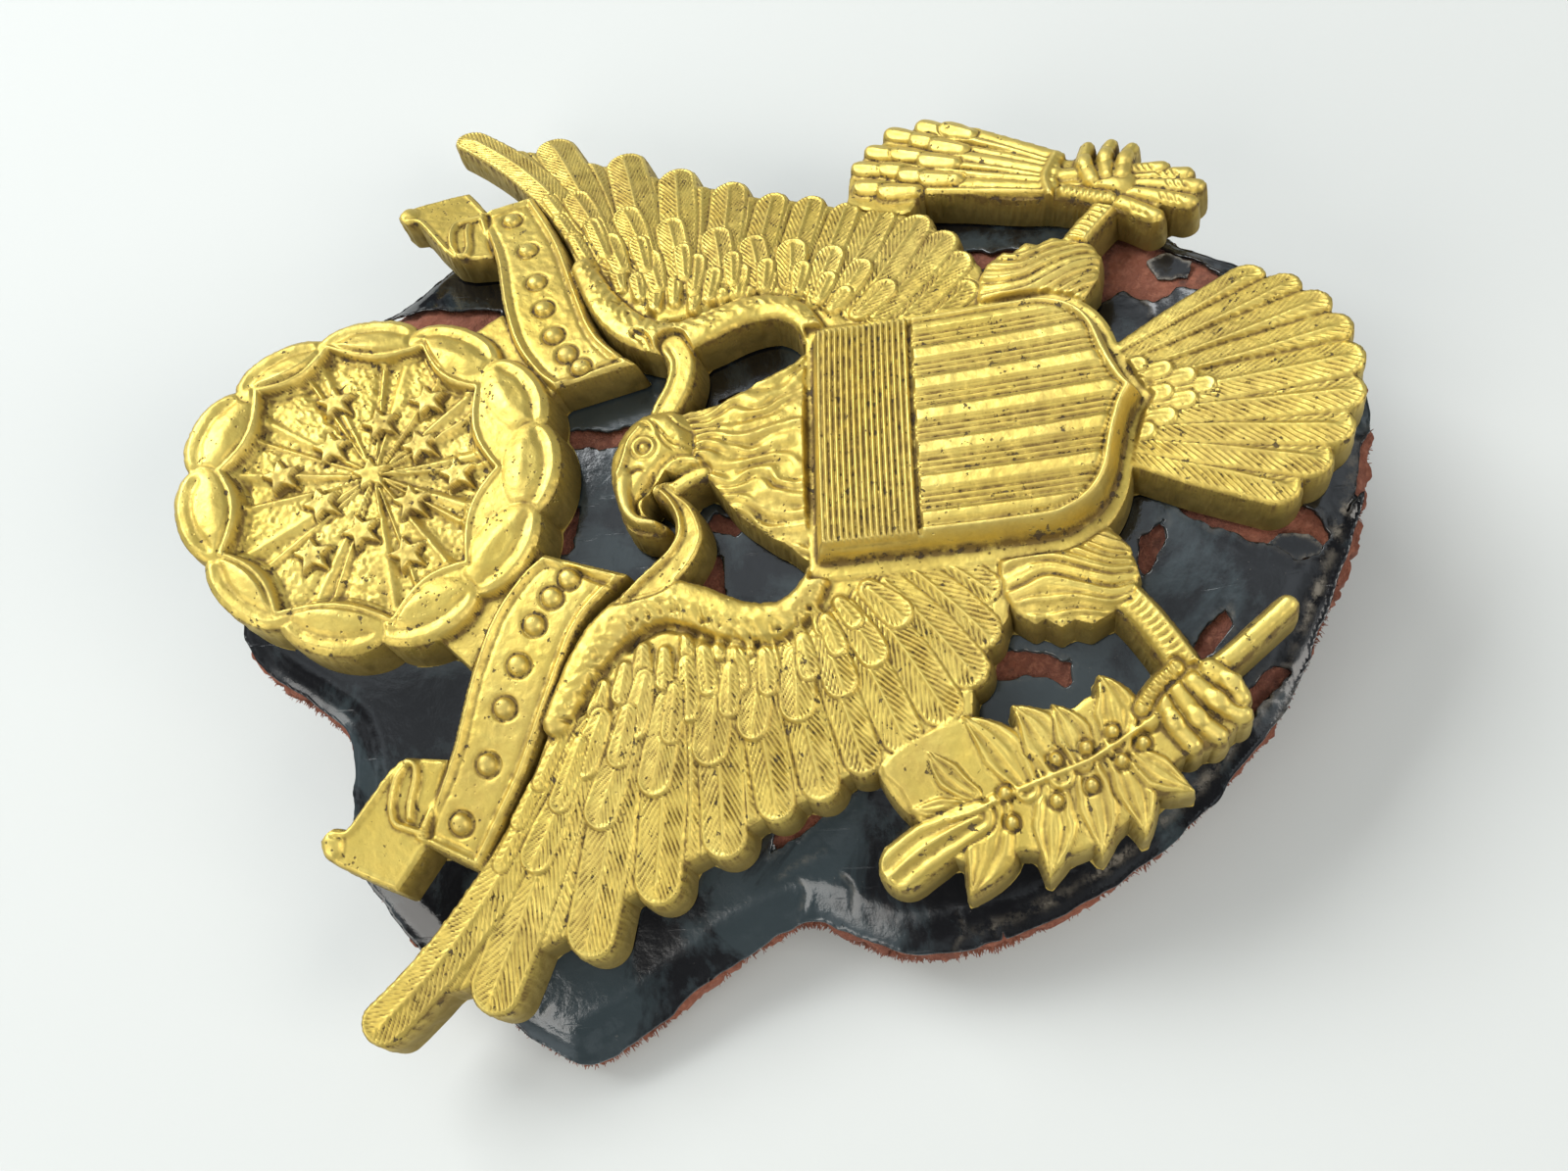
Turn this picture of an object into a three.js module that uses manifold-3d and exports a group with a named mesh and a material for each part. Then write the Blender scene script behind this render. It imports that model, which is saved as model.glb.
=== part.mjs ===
// A die-struck eagle cap badge on its piece of patent leather, with the screw post,
// locating pins, washer and thumb nut that hold it to a cap.
// Millimetres. +X is the viewer's right, +Y runs up to the glory of stars, +Z comes out of the face.
// The plate is drawn flat, then bent to the front of the cap, with the leather under it.
import * as THREE from "three";
import { mergeVertices } from "three/addons/utils/BufferGeometryUtils.js";
import Module from "manifold-3d";

const wasm = await Module();
wasm.setup();

// ---- driving dimensions ----
const REGULATION_HEIGHT = 60.3; // 2 3/8 in, from the tip of the tail to the top of the glory
const DRAWN_HEIGHT = 59.3; // the same height as the outlines below draw it
const TO_SIZE = REGULATION_HEIGHT / DRAWN_HEIGHT;

const CROWN_BEND = 0.0079; // the plate falls by this times x squared: a cap front of 63 mm radius
const PEAK_BEND = 0.0041; // and rises by this times y squared towards its two ends
const BEND_TOLERANCE = 0.08; // how far a flat facet may stand off the true bend

const FACE = 2.3; // height of the struck face above the back of the plate
const RELIEF = 0.35; // one step of relief on the face
const SHIELD_TOP = 4.1;
const SMALLEST_DETAIL = 0.04; // slivers that joining leaves below this size are dropped
const BURIED = -0.5; // raised work starts under the back and is trimmed flush

const LEATHER_TOP = -0.5;
const LEATHER_BOTTOM = -2.2;
const COAT_TOP = -0.15;
const COAT_BOTTOM = -0.35;

const POST_X = 0;
const POST_Y = -0.5;
const POST_RADIUS = 1.5;
const THREAD_DEPTH = 0.18;
const THREAD_PITCH = 0.8;
const POST_FLANGE_RADIUS = 2.6;
const FITTING_GAP = 0.4; // clear space round the post and the pins in the leather and its coat
const POST_FLANGE_TOP = -0.25;
const POST_FLANGE_BOTTOM = -1.1;
const POST_TIP = -8.9;

const PIN_RADIUS = 0.6;
const PIN_X = 10.5;
const PIN_Y = 2.5;
const PIN_BOTTOM = -6.4;
const PIN_SINK = 0.3; // how far a pin's head ends below the back of the plate

const SEAT_RADIUS = 10; // flat round the post, where the leather bears on the cap cloth
const SEAT_Z = -2.05;
const WASHER_SEAT_RADIUS = 6.4;
const WASHER_SEAT_Z = -1.9;
const WASHER_RADIUS = 6;
const WASHER_BORE = 1.8;
const WASHER_TOP = -2.0;
const WASHER_BOTTOM = -2.7;

const NUT_BORE = 1.7;
const NUT_SHOULDER_RADIUS = 4;
const NUT_TOP = -2.8;
const NUT_KNURL_TOP = -5.4;
const NUT_BOTTOM = -9.3;
const NUT_RADIUS = 7;
const NUT_KNURLS = 24;
const NUT_RECESS_RADIUS = 3.2;
const NUT_RECESS_DEPTH = 0.5;
const NUT_CHAMFER = 0.4;
const KNURL_RADIUS = 0.32;
const KNURL_STANDOFF = 0.08; // the knurl grooves are centred this far outside the rim
const KNURL_OVERRUN = 0.5;

// ---- materials ----
const gilt = () => new THREE.MeshStandardMaterial({ color: 0xc9a23c, roughness: 0.32, metalness: 1 });
const brass = () => new THREE.MeshStandardMaterial({ color: 0xa98a4a, roughness: 0.45, metalness: 1 });
const leather = () => new THREE.MeshStandardMaterial({ color: 0x6b3a2a, roughness: 0.95, metalness: 0 });
const japan = () => new THREE.MeshStandardMaterial({ color: 0x121316, roughness: 0.18, metalness: 0 });

// ---- solids ----
function solidOf(geometry) {
  const bare = geometry.clone();
  bare.deleteAttribute("normal");
  bare.deleteAttribute("uv");
  const merged = mergeVertices(bare, 1e-4);
  return new wasm.Manifold(
    new wasm.Mesh({
      numProp: 3,
      vertProperties: new Float32Array(merged.attributes.position.array),
      triVerts: new Uint32Array(merged.index.array),
    }),
  );
}

function geometryOf(solid) {
  const mesh = solid.getMesh();
  const geometry = new THREE.BufferGeometry();
  geometry.setAttribute("position", new THREE.BufferAttribute(new Float32Array(mesh.vertProperties), 3));
  geometry.setIndex(new THREE.BufferAttribute(new Uint32Array(mesh.triVerts), 1));
  return geometry;
}

const join = (solids) => solids.reduce((whole, piece) => whole.add(piece));
const vectors = (pairs, side = 1) => pairs.map(([x, y]) => new THREE.Vector2(side * x, y));

// Points along a smooth curve through a few given ones.
function along(pairs, count) {
  return new THREE.SplineCurve(vectors(pairs)).getPoints(count).map((p) => [p.x, p.y]);
}

function closedAlong(pairs, count) {
  const loop = new THREE.CatmullRomCurve3(
    pairs.map(([x, y]) => new THREE.Vector3(x, y, 0)),
    true,
    "centripetal",
  );
  return loop
    .getPoints(count)
    .slice(0, -1)
    .map((p) => [p.x, p.y]);
}

// A flat-topped piece of the given outline; fall and inset give its upper edge a sloping side.
function slab(outline, top, { bottom = BURIED, fall = 0, inset = fall, side = 1 } = {}) {
  const geometry = new THREE.ExtrudeGeometry(new THREE.Shape(vectors(outline, side)), {
    depth: top - bottom - 2 * fall,
    bevelEnabled: fall > 0,
    bevelThickness: fall,
    bevelSize: inset,
    bevelOffset: -inset,
    bevelSegments: 1,
    curveSegments: 1,
  });
  geometry.translate(0, 0, bottom + fall);
  return solidOf(geometry);
}

function disc(x, y, radius, top, bottom, segments = 20) {
  const geometry = new THREE.CylinderGeometry(radius, radius, top - bottom, segments);
  geometry.rotateX(Math.PI / 2);
  geometry.translate(x, y, (top + bottom) / 2);
  return solidOf(geometry);
}

// A flattened ball, long the way that angle points.
function mound([x, y], length, width, height, base, angle = 0, segments = 10) {
  const geometry = new THREE.SphereGeometry(1, segments, segments > 6 ? 6 : 4);
  geometry.rotateX(Math.PI / 2);
  geometry.scale(length / 2, width / 2, height);
  geometry.rotateZ(angle);
  geometry.translate(x, y, base);
  return solidOf(geometry);
}

// The outline of a strip of even width along a line of points.
function strip(line, width) {
  const edge = (sign) =>
    line.map(([x, y], i) => {
      const [before, after] = [line[Math.max(0, i - 1)], line[Math.min(line.length - 1, i + 1)]];
      const length = Math.hypot(after[0] - before[0], after[1] - before[1]);
      const shift = (sign * width) / 2 / length;
      return [x - shift * (after[1] - before[1]), y + shift * (after[0] - before[0])];
    });
  return [...edge(1), ...edge(-1).reverse()];
}

// A leaf or feather from root to tip. bow bends it sideways; point 0 rounds the tip, 1 makes it sharp.
function bladeOutline(root, tip, width, bow = 0, point = 0, steps = 4) {
  const start = new THREE.Vector2(...root);
  const end = new THREE.Vector2(...tip);
  const length = start.distanceTo(end);
  const across = end.clone().sub(start).normalize().rotateAround(new THREE.Vector2(), Math.PI / 2);
  const middle = start.clone().add(end).multiplyScalar(0.5).addScaledVector(across, bow * length);
  const spine = new THREE.QuadraticBezierCurve(start, middle, end);
  const shoulder = point ? 0.45 : Math.max(0.5, 1 - width / 2 / length);
  const stations = [0, shoulder * 0.5, shoulder];
  const tipTurns = point ? 2 : steps;
  for (let i = 1; i < tipTurns; i += 1) {
    stations.push(shoulder + (1 - shoulder) * (point ? 0.5 : Math.sin(((i / tipTurns) * Math.PI) / 2)));
  }
  const halfWidth = (t) => {
    const grown = t < shoulder ? 0.72 + (0.28 * t) / shoulder : 1;
    const past = Math.max(0, (t - shoulder) / (1 - shoulder));
    return (width / 2) * grown * (point ? 1 - past : Math.sqrt(1 - past * past));
  };
  const sideAt = (t, sign) => {
    const slope = spine.getTangent(t);
    const at = spine.getPoint(t);
    return [at.x - sign * slope.y * halfWidth(t), at.y + sign * slope.x * halfWidth(t)];
  };
  const left = stations.map((t) => sideAt(t, 1));
  const right = stations.map((t) => sideAt(t, -1)).reverse();
  return [...left, tip, ...right];
}

const blade = (root, tip, width, top, { bow = 0, point = 0, steps = 4, fall = 0.3, side = 1 } = {}) =>
  slab(bladeOutline(root, tip, width, bow, point, steps), top, {
    fall,
    inset: Math.min(fall, width / (point ? 12 : 5)),
    side,
  });

// ---- bending ----
const toSize = (pairs) => pairs.map(([x, y]) => [x * TO_SIZE, y * TO_SIZE]);
const bendAt = (x, y) => -CROWN_BEND * x * x + PEAK_BEND * y * y;

// Halves every edge that would miss the bend by more than the tolerance, and the faces beside it.
function halveLongEdges(sheet) {
  const middles = new Map();
  const middleOf = (a, b) => {
    const key = Math.min(a, b) + ":" + Math.max(a, b);
    if (!middles.has(key)) {
      const [from, to] = [sheet.points[a], sheet.points[b]];
      const miss = Math.max(CROWN_BEND * (to[0] - from[0]) ** 2, PEAK_BEND * (to[1] - from[1]) ** 2) / 4;
      if (miss > BEND_TOLERANCE) sheet.points.push(from.map((value, i) => (value + to[i]) / 2));
      middles.set(key, miss > BEND_TOLERANCE ? sheet.points.length - 1 : -1);
    }
    return middles.get(key);
  };
  const before = sheet.faces.length;
  sheet.faces = sheet.faces.flatMap((face) => {
    const middle = face.map((corner, i) => middleOf(corner, face[(i + 1) % 3]));
    const cut = middle.filter((m) => m >= 0).length;
    if (cut === 0) return [face];
    // turn the face so that its first edge is cut and, when two are cut, its second one too
    const turns = [0, 1, 2].find((t) => middle[t] >= 0 && (cut !== 2 || middle[(t + 1) % 3] >= 0));
    const [a, b, c] = [0, 1, 2].map((i) => face[(i + turns) % 3]);
    const [ab, bc, ca] = [0, 1, 2].map((i) => middle[(i + turns) % 3]);
    if (cut === 1) return [[a, ab, c], [ab, b, c]];
    if (cut === 2) return [[ab, b, bc], [a, ab, bc], [a, bc, c]];
    return [[a, ab, ca], [ab, b, bc], [ca, bc, c], [ab, bc, ca]];
  });
  return sheet.faces.length > before;
}

// Bends a flat solid; size first enlarges it in plan from its drawn size.
function bent(solid, size = 1) {
  const mesh = solid.getMesh();
  const sheet = { points: [], faces: [] };
  for (let i = 0; i < mesh.numVert; i += 1) {
    const [x, y, z] = mesh.vertProperties.subarray(i * mesh.numProp, i * mesh.numProp + 3);
    sheet.points.push([x * size, y * size, z]);
  }
  for (let i = 0; i < mesh.triVerts.length; i += 3) {
    sheet.faces.push(Array.from(mesh.triVerts.subarray(i, i + 3)));
  }
  let halved = true;
  while (halved) halved = halveLongEdges(sheet);
  const geometry = new THREE.BufferGeometry();
  const lifted = sheet.points.flatMap(([x, y, z]) => [x, y, z + bendAt(x, y)]);
  geometry.setAttribute("position", new THREE.BufferAttribute(new Float32Array(lifted), 3));
  geometry.setIndex(sheet.faces.flat());
  return geometry;
}

// ---- the eagle: wings ----
// Outlines of paired work are drawn for x above 0; side -1 mirrors them.
const WING_BODY = [
  [26.6, 18.8], [23, 15.6], [20.3, 14.2], [16, 11.9], [12.3, 10.3], [9.8, 8.9], [8.2, 8], [7.2, 7],
  [6.8, 5.8], [6.8, 4.4], [7.2, 3], [8, 1.6], [8.5, 0.2], [8.3, -1], [7.7, -1.9], [6.5, -2.3],
  [5.5, -8], [6, -12.5], [9.9, -12], [11.6, -10.8], [13.5, -9.4], [14.8, -8], [15.2, -6], [15.8, -4],
  [16.8, -1.8], [17.6, 0.4], [19, 3.4], [21, 7], [23.2, 10.8], [25.8, 15.4],
];
const FLIGHT_TIPS = [
  [28.4, 20.7], [27.1, 15.3], [24.3, 10.4], [22.1, 6.8], [20.2, 3.1], [18.5, 0.1],
  [17.7, -2.3], [16.7, -4.6], [15.8, -6.6], [14.7, -8.8], [13.1, -10.4], [11.4, -11.2],
];
const FLIGHT_ROOTS = [[14, 9.8], [11.5, 6.5], [10.8, 3], [10.6, 0], [9.5, -3], [8, -6], [7, -8.5]];
const MIDDLE_TIPS = [
  [21.2, 12.6], [18.9, 8.9], [17.2, 5.9], [15.9, 3.3], [14.6, -0.8], [13.2, -3.8], [11.4, -6.6],
  [9.6, -9],
];
const MIDDLE_ROOTS = [[14.5, 9.8], [11.5, 6.6], [10.8, 3.4], [10.4, 0.4], [9.4, -2.6], [8, -5.6]];
const COVERT_TIPS = [[14.8, 9.4], [12.9, 6.2], [12.1, 3.2], [11.6, 0.4], [10.6, -2.4], [9.2, -5]];
const ARM = [
  [12.6, 9.7], [10.8, 8.9], [9, 7.7], [7.9, 6.3], [7.5, 4.8], [8, 3.3], [8.8, 1.7], [9.2, 0],
  [8.7, -1.6], [7.6, -2.9],
];

const ARM_WIDTH = 1.6;

function wing(side) {
  const pieces = [slab(WING_BODY, FACE - RELIEF, { side })];
  const roots = along(FLIGHT_ROOTS, FLIGHT_TIPS.length - 1);
  FLIGHT_TIPS.forEach((tip, i) => {
    const width = i === 0 ? 2.5 : Math.max(1.9, 3.3 - 0.16 * i);
    const top = FACE - 0.02 * i;
    pieces.push(blade(roots[i], tip, width, top, { bow: 0.05, steps: 2, fall: 0.35, side }));
  });
  const middles = 7;
  const middleRoots = along(MIDDLE_ROOTS, middles - 1);
  along(MIDDLE_TIPS, middles - 1).forEach((tip, i) => {
    pieces.push(blade(middleRoots[i], tip, 2.1, FACE + RELIEF, { bow: 0.04, steps: 2, fall: 0, side }));
  });
  // small coverts over the roots of the middle feathers
  for (const [x, y] of along(COVERT_TIPS, 5)) {
    pieces.push(blade([x - 1.9, y + 0.3], [x, y], 1.9, FACE + 2 * RELIEF, { steps: 2, fall: 0, side }));
  }
  pieces.push(slab(strip(along(ARM, 12), ARM_WIDTH), FACE + 1.2, { fall: 0.5, side }));
  return join(pieces);
}

// ---- the ribbon: a lettered band on the real badge, beaded here ----
const BAND_UPPER = [[18.9, 17.9], [15, 16], [11, 14.9], [8, 13.8], [5.9, 12.4], [4.9, 11.3]];
const BAND_LOWER = [[6.2, 6.9], [7.4, 8.3], [9, 9.5], [12.2, 10.8], [16, 12.3], [20.4, 14.7]];
const BAND_FLAG = [
  [19.4, 17.1], [21, 19.2], [20.4, 20.5], [20.1, 21.7], [19.4, 22.5], [18.6, 22.3],
  [18.3, 21.2], [16.8, 20.2], [15.6, 19.3], [15, 18.2], [15.1, 15.6], [18.5, 16.2],
];
const FLAG_CURL = [[18.8, 18.6], [17.6, 19.1], [15.2, 18.2]];
// joins the glory to the ribbon
const CLOUD_WEB = [[10.4, 15.2], [8.4, 17.4], [3.6, 12.6], [5, 11.6], [8, 14]];
const BEADS_ON_BAND = 7;

function band(side) {
  const upper = along(BAND_UPPER, 7);
  const lower = along(BAND_LOWER, 7);
  const outline = [...upper, ...lower];
  const pieces = [
    slab(outline, FACE, { side }),
    slab(BAND_FLAG, FACE - 0.2, { fall: 0.15, side }),
    slab(CLOUD_WEB, FACE - 0.3, { side }),
  ];
  const rim = (edge, towards) => {
    const inner = edge.map(([x, y]) => [x + towards[0], y + towards[1]]).reverse();
    return slab([...edge, ...inner], FACE + RELIEF, { side });
  };
  pieces.push(rim(upper.slice(1, -1), [-0.15, -0.35]));
  pieces.push(rim(lower.slice(1, -1), [-0.15, 0.35]));
  pieces.push(rim(along(FLAG_CURL, 4), [0.1, -0.5]));
  for (let i = 0; i < BEADS_ON_BAND; i += 1) {
    const share = (i + 0.6) / BEADS_ON_BAND;
    const above = new THREE.SplineCurve(vectors(BAND_UPPER)).getPoint(share * 0.92);
    const below = new THREE.SplineCurve(vectors([...BAND_LOWER].reverse())).getPoint(share * 0.92);
    const bead = [side * (above.x + below.x) * 0.5, (above.y + below.y) * 0.5];
    pieces.push(mound(bead, 1.1, 1.1, 0.45, FACE - 0.05, 0, 6));
  }
  return join(pieces);
}

// ---- the head, its neck and the ribbon in the beak ----
const NECK = [
  [2.2, 6], [2.5, 4.4], [2.8, 2.8], [3.4, 1.4], [4.2, 0], [4.9, -1.4], [5.2, -3.2],
  [-5.6, -3.2], [-5.1, -1.2], [-4.3, 0], [-3.4, 1.3], [-2.6, 2.5], [-2.1, 3.6], [-2, 5.4],
];
const SKULL = [
  [-1, 4.6], [-1.6, 5.4], [-2.2, 6.2], [-2.2, 7.4], [-1.2, 7.7], [0, 7.8], [1, 7.5], [1.9, 7],
  [2.6, 6.2], [2.7, 5.2], [2.6, 4.2], [1.6, 3.5], [0.3, 3.3], [-0.5, 3.7],
];
const BEAK = [
  [-1.4, 5.4], [-2.2, 5.9], [-2.9, 6.1], [-3.4, 5.7], [-3.6, 5.1], [-3.9, 4.9], [-4.2, 5.3],
  [-4.2, 6.1], [-3.8, 6.8], [-3.1, 7.2], [-2.2, 7.5], [-1.4, 7.5],
];
const LEFT_STRAP = [
  [-7.8, 7.6], [-6.6, 6.4], [-5.6, 5.3], [-4.9, 4.7], [-4.2, 4.4], [-3.4, 4.4], [-2.7, 4.8],
  [-2, 5.5], [-1.4, 5], [-2, 4.2], [-2.8, 3.5], [-4.1, 3], [-5.2, 3.2], [-6.5, 4.1], [-7.4, 5.2],
];
const RIGHT_STRAP = [
  [1.8, 6.2], [3.5, 5.8], [5, 5.5], [6.2, 6.2], [7.4, 6], [7.2, 4.1], [5.6, 3.6], [4, 4], [2, 4.9],
];
const NECK_FEATHER_ROWS = 2;

function head() {
  const pieces = [
    slab(NECK, FACE + 0.2, { fall: 0.4 }),
    slab(SKULL, FACE + 0.9, { fall: 0.7, inset: 0.4 }),
    slab(BEAK, FACE + 0.6, { fall: 0.25, inset: 0.12 }),
    slab(LEFT_STRAP, FACE, { fall: 0.25 }),
    slab(RIGHT_STRAP, FACE, { fall: 0.25 }),
    mound([0.5, 5.6], 3.4, 3.2, 0.55, FACE + 0.7),
    mound([0.45, 5.95], 0.9, 0.9, 0.3, FACE + 1.2, 0, 6),
  ];
  for (let row = 0; row < NECK_FEATHER_ROWS; row += 1) {
    const across = 3 + row;
    const y = 2.6 - 2.4 * row;
    const reach = 1.7 + 1.5 * row;
    for (let i = 0; i < across; i += 1) {
      const x = -reach + (2 * reach * i) / (across - 1) + 0.1;
      const top = FACE + 0.85 - 0.1 * row + 0.02 * (i % 2);
      pieces.push(blade([x * 0.8, y + 1.6], [x, y - 1], 1.7, top, { bow: 0.1, point: 1, fall: 0 }));
    }
  }
  return join(pieces);
}

// ---- the glory: a ring of cloud round a field of rays and thirteen stars ----
const GLORY_CENTRE = [0, 20.6];
const CLOUD_RADIUS = 9.2;
const CLOUD_PUFF_LENGTH = 2.75; // half lengths of one puff, round the ring and across it
const CLOUD_PUFF_DEPTH = 1.38;
const CLOUD_ANGLES = [16, 49, 81, 114, 148]; // degrees from the top, mirrored, and one at the foot
const FIELD_RADIUS = 7.4;
const FIELD_CUSPS = 10;
const FIELD_FLOOR = 1.5;
const RAYS = 16;
const STAR_RADIUS = 1.13;
const INNER_STAR_RING = 2.9;
const OUTER_STAR_RING = 5.2;
const RAY_START = 1.4;

const fromGlory = (radius, angle) => [
  GLORY_CENTRE[0] + radius * Math.sin(angle),
  GLORY_CENTRE[1] + radius * Math.cos(angle),
];

function starOutline([x, y], radius, turn = 0) {
  return Array.from({ length: 10 }, (_, i) => {
    const reach = i % 2 ? radius * 0.42 : radius;
    const angle = (i * Math.PI) / 5 + turn;
    return [x + reach * Math.sin(angle), y + reach * Math.cos(angle)];
  });
}

function glory() {
  const degree = Math.PI / 180;
  const puffs = [...CLOUD_ANGLES, 180, ...CLOUD_ANGLES.map((a) => -a)];
  const ring = Array.from({ length: 24 }, (_, i) => fromGlory(CLOUD_RADIUS, (i / 24) * 2 * Math.PI));
  const field = Array.from({ length: FIELD_CUSPS * 3 }, (_, i) => {
    const phase = (i % 3) / 3;
    const radius = FIELD_RADIUS + 0.55 - 0.8 * Math.sin(phase * Math.PI);
    return fromGlory(radius, (i / (FIELD_CUSPS * 3)) * 2 * Math.PI);
  });
  const fieldLip = field.map(([x, y]) => [
    GLORY_CENTRE[0] + (x - GLORY_CENTRE[0]) * 1.05,
    GLORY_CENTRE[1] + (y - GLORY_CENTRE[1]) * 1.05,
  ]);
  const cloud = [slab(ring, FACE), slab(fieldLip, FACE + RELIEF)];
  for (const angle of puffs) {
    const [x, y] = fromGlory(CLOUD_RADIUS - 0.45, angle * degree);
    const lobe = Array.from({ length: 10 }, (_, i) => {
      const turn = (i / 10) * 2 * Math.PI;
      const round = CLOUD_PUFF_LENGTH * Math.cos(turn);
      const out = CLOUD_PUFF_DEPTH * Math.sin(turn);
      const [cosine, sine] = [Math.cos(-angle * degree), Math.sin(-angle * degree)];
      return [x + round * cosine - out * sine, y + round * sine + out * cosine];
    });
    cloud.push(slab(lobe, FACE + 0.75, { fall: 0.6, inset: 0.5 }));
  }
  const pit = slab(field, SHIELD_TOP + 1, { bottom: FIELD_FLOOR });
  const struck = [join(cloud).subtract(pit)];
  for (let i = 0; i < RAYS; i += 1) {
    const angle = (i / RAYS) * 2 * Math.PI;
    const halfTurn = 0.045 * (i % 2 ? 1 : 1.5);
    const wedge = [
      fromGlory(RAY_START, angle),
      fromGlory(FIELD_RADIUS, angle - halfTurn),
      fromGlory(FIELD_RADIUS, angle + halfTurn),
    ];
    struck.push(slab(wedge, FIELD_FLOOR + 0.3 + 0.02 * (i % 3)));
  }
  // one star at the centre, six close round it and six outside them
  const stars = [GLORY_CENTRE];
  for (let i = 0; i < 6; i += 1) {
    stars.push(fromGlory(INNER_STAR_RING, (i * Math.PI) / 3 + Math.PI / 6));
    stars.push(fromGlory(OUTER_STAR_RING, (i * Math.PI) / 3));
  }
  for (const star of stars) struck.push(slab(starOutline(star, STAR_RADIUS), FIELD_FLOOR + 0.75));
  return join(struck);
}

// ---- the shield ----
const SHIELD_HALF = 6.9;
const SHIELD_HEAD = -2.4;
const SHIELD_RIGHT = [
  [SHIELD_HALF, SHIELD_HEAD], [SHIELD_HALF, -14], [6.6, -15.4], [5.8, -16.7], [4.4, -17.6],
  [2.4, -18.2], [0.9, -18.6],
];
const SHIELD_POINT = [0, -19.1];
const CHIEF_TOP = -3.2;
const CHIEF_FOOT = -8;
const CHIEF_LINES = 11;
const STRIPES = 13;
const STRIPE_HALF_SPAN = 6;

function shield() {
  const outline = [...SHIELD_RIGHT, SHIELD_POINT, ...SHIELD_RIGHT.map(([x, y]) => [-x, y]).reverse()];
  const inner = outline.map(([x, y]) => [x * 0.9, y > -10 ? y - 0.75 : y + 0.9]);
  const body = slab(outline, SHIELD_TOP, { fall: 1.5, inset: 0.45 });
  const sunk = slab(inner, SHIELD_TOP + 1, { bottom: SHIELD_TOP - 0.35 });
  const pieces = [body.subtract(sunk)];
  const bar = (x, y, wide, tall, top) => {
    const [left, right] = [x - wide / 2, x + wide / 2];
    const [foot, head] = [y - tall / 2, y + tall / 2];
    const outlineOfBar = [[left, foot], [right, foot], [right, head], [left, head]];
    return slab(outlineOfBar, top, { bottom: SHIELD_TOP - 0.6 });
  };
  for (let i = 0; i < CHIEF_LINES; i += 1) {
    const y = CHIEF_TOP + ((CHIEF_FOOT - CHIEF_TOP) * (i + 0.5)) / CHIEF_LINES;
    pieces.push(bar(0, y, 12.3, 0.14, SHIELD_TOP - 0.1));
  }
  pieces.push(bar(0, CHIEF_FOOT - 0.15, 12.3, 0.3, SHIELD_TOP - 0.02));
  const pitch = (2 * STRIPE_HALF_SPAN) / STRIPES;
  const footAt = (x) => -17.55 + 0.016 * x * x - 0.3 * (1 - Math.abs(x) / STRIPE_HALF_SPAN);
  for (let i = 0; i < STRIPES; i += 1) {
    const x = -STRIPE_HALF_SPAN + (i + 0.5) * pitch;
    const foot = footAt(x) + (Math.abs(x) > 5 ? 0.9 : 0.15);
    const head = CHIEF_FOOT - 0.5;
    if (i % 2 === 0) {
      pieces.push(bar(x, (head + foot) / 2, pitch * 0.8, head - foot, SHIELD_TOP - 0.04));
    } else {
      pieces.push(bar(x, (head + foot) / 2, 0.2, head - foot, SHIELD_TOP - 0.18));
    }
  }
  return join(pieces);
}

// ---- thighs, legs and what the talons hold ----
const THIGH = [
  [8.6, -11.2], [9.5, -12.6], [10, -14], [10.3, -15.5], [10.4, -16.8], [9.6, -17.8], [8.4, -17.8],
  [7.2, -17.3], [6, -16.4], [5.8, -11.5],
];
const LEFT_LEG = [
  [-10.6, -16.2], [-13, -18.2], [-14.2, -19], [-13.4, -20.4], [-11.5, -19.4], [-9.2, -18.2],
  [-8.6, -17],
];
const RIGHT_LEG = [
  [10.4, -15.6], [13, -17], [14.4, -17.6], [13.6, -19.6], [12, -19], [10.3, -17.7], [8.6, -17],
];

const TOE_STEP = 0.95;
const THIGH_FEATHERS = 4;
const THIGH_FEATHER_STEP = 1.05;

function thigh(side) {
  const pieces = [slab(THIGH, FACE + 0.1, { fall: 0.5, side })];
  for (let i = 0; i < THIGH_FEATHERS; i += 1) {
    const x = 6.4 + THIGH_FEATHER_STEP * i;
    const root = [side * (x * 0.55 + 3.6), -11.4 - 0.25 * i];
    pieces.push(blade(root, [side * x, -16.9 + 0.12 * i], 1.05, FACE + 0.5 + 0.03 * (i % 2), {
      bow: -0.12 * side,
      point: 1,
      fall: 0,
    }));
  }
  return join(pieces);
}

// Four toes side by side, spread out in the direction that rowAngle points.
function talon(centre, rowAngle) {
  const pieces = [];
  for (let toe = -1.5; toe <= 1.5; toe += 1) {
    const across = rowAngle + Math.PI / 2;
    const shift = toe * TOE_STEP;
    const at = [centre[0] + shift * Math.cos(rowAngle), centre[1] + shift * Math.sin(rowAngle)];
    pieces.push(mound(at, 2.8, 1.05, 1.1, FACE - 0.1, across, 6));
  }
  return pieces;
}

// the olive branch, on the viewer's left: leaves in pairs up a curved stem, with berries between
const BRANCH_STEM = [
  [-10.9, -24.5], [-13.4, -21.2], [-15.4, -18.2], [-17.2, -14.4], [-18.6, -10.6], [-20, -8],
];
const OUTER_LEAVES = [
  [[-20.3, -9.4], [-21.8, -5.3]], [[-19, -10.6], [-22.4, -9]], [[-18.2, -13.4], [-22, -12.9]],
  [[-17.6, -15.2], [-21.3, -15.1]], [[-16.8, -16.6], [-20.5, -17.1]], [[-16, -17.6], [-19, -19.6]],
];
const INNER_LEAVES = [
  [[-18.4, -10.8], [-15.7, -7.4]], [[-18, -12], [-14.8, -9.3]], [[-17.4, -13.8], [-14.3, -11.8]],
  [[-17, -15], [-14.1, -13.8]], [[-16.6, -16], [-13.3, -16]],
];
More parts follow.
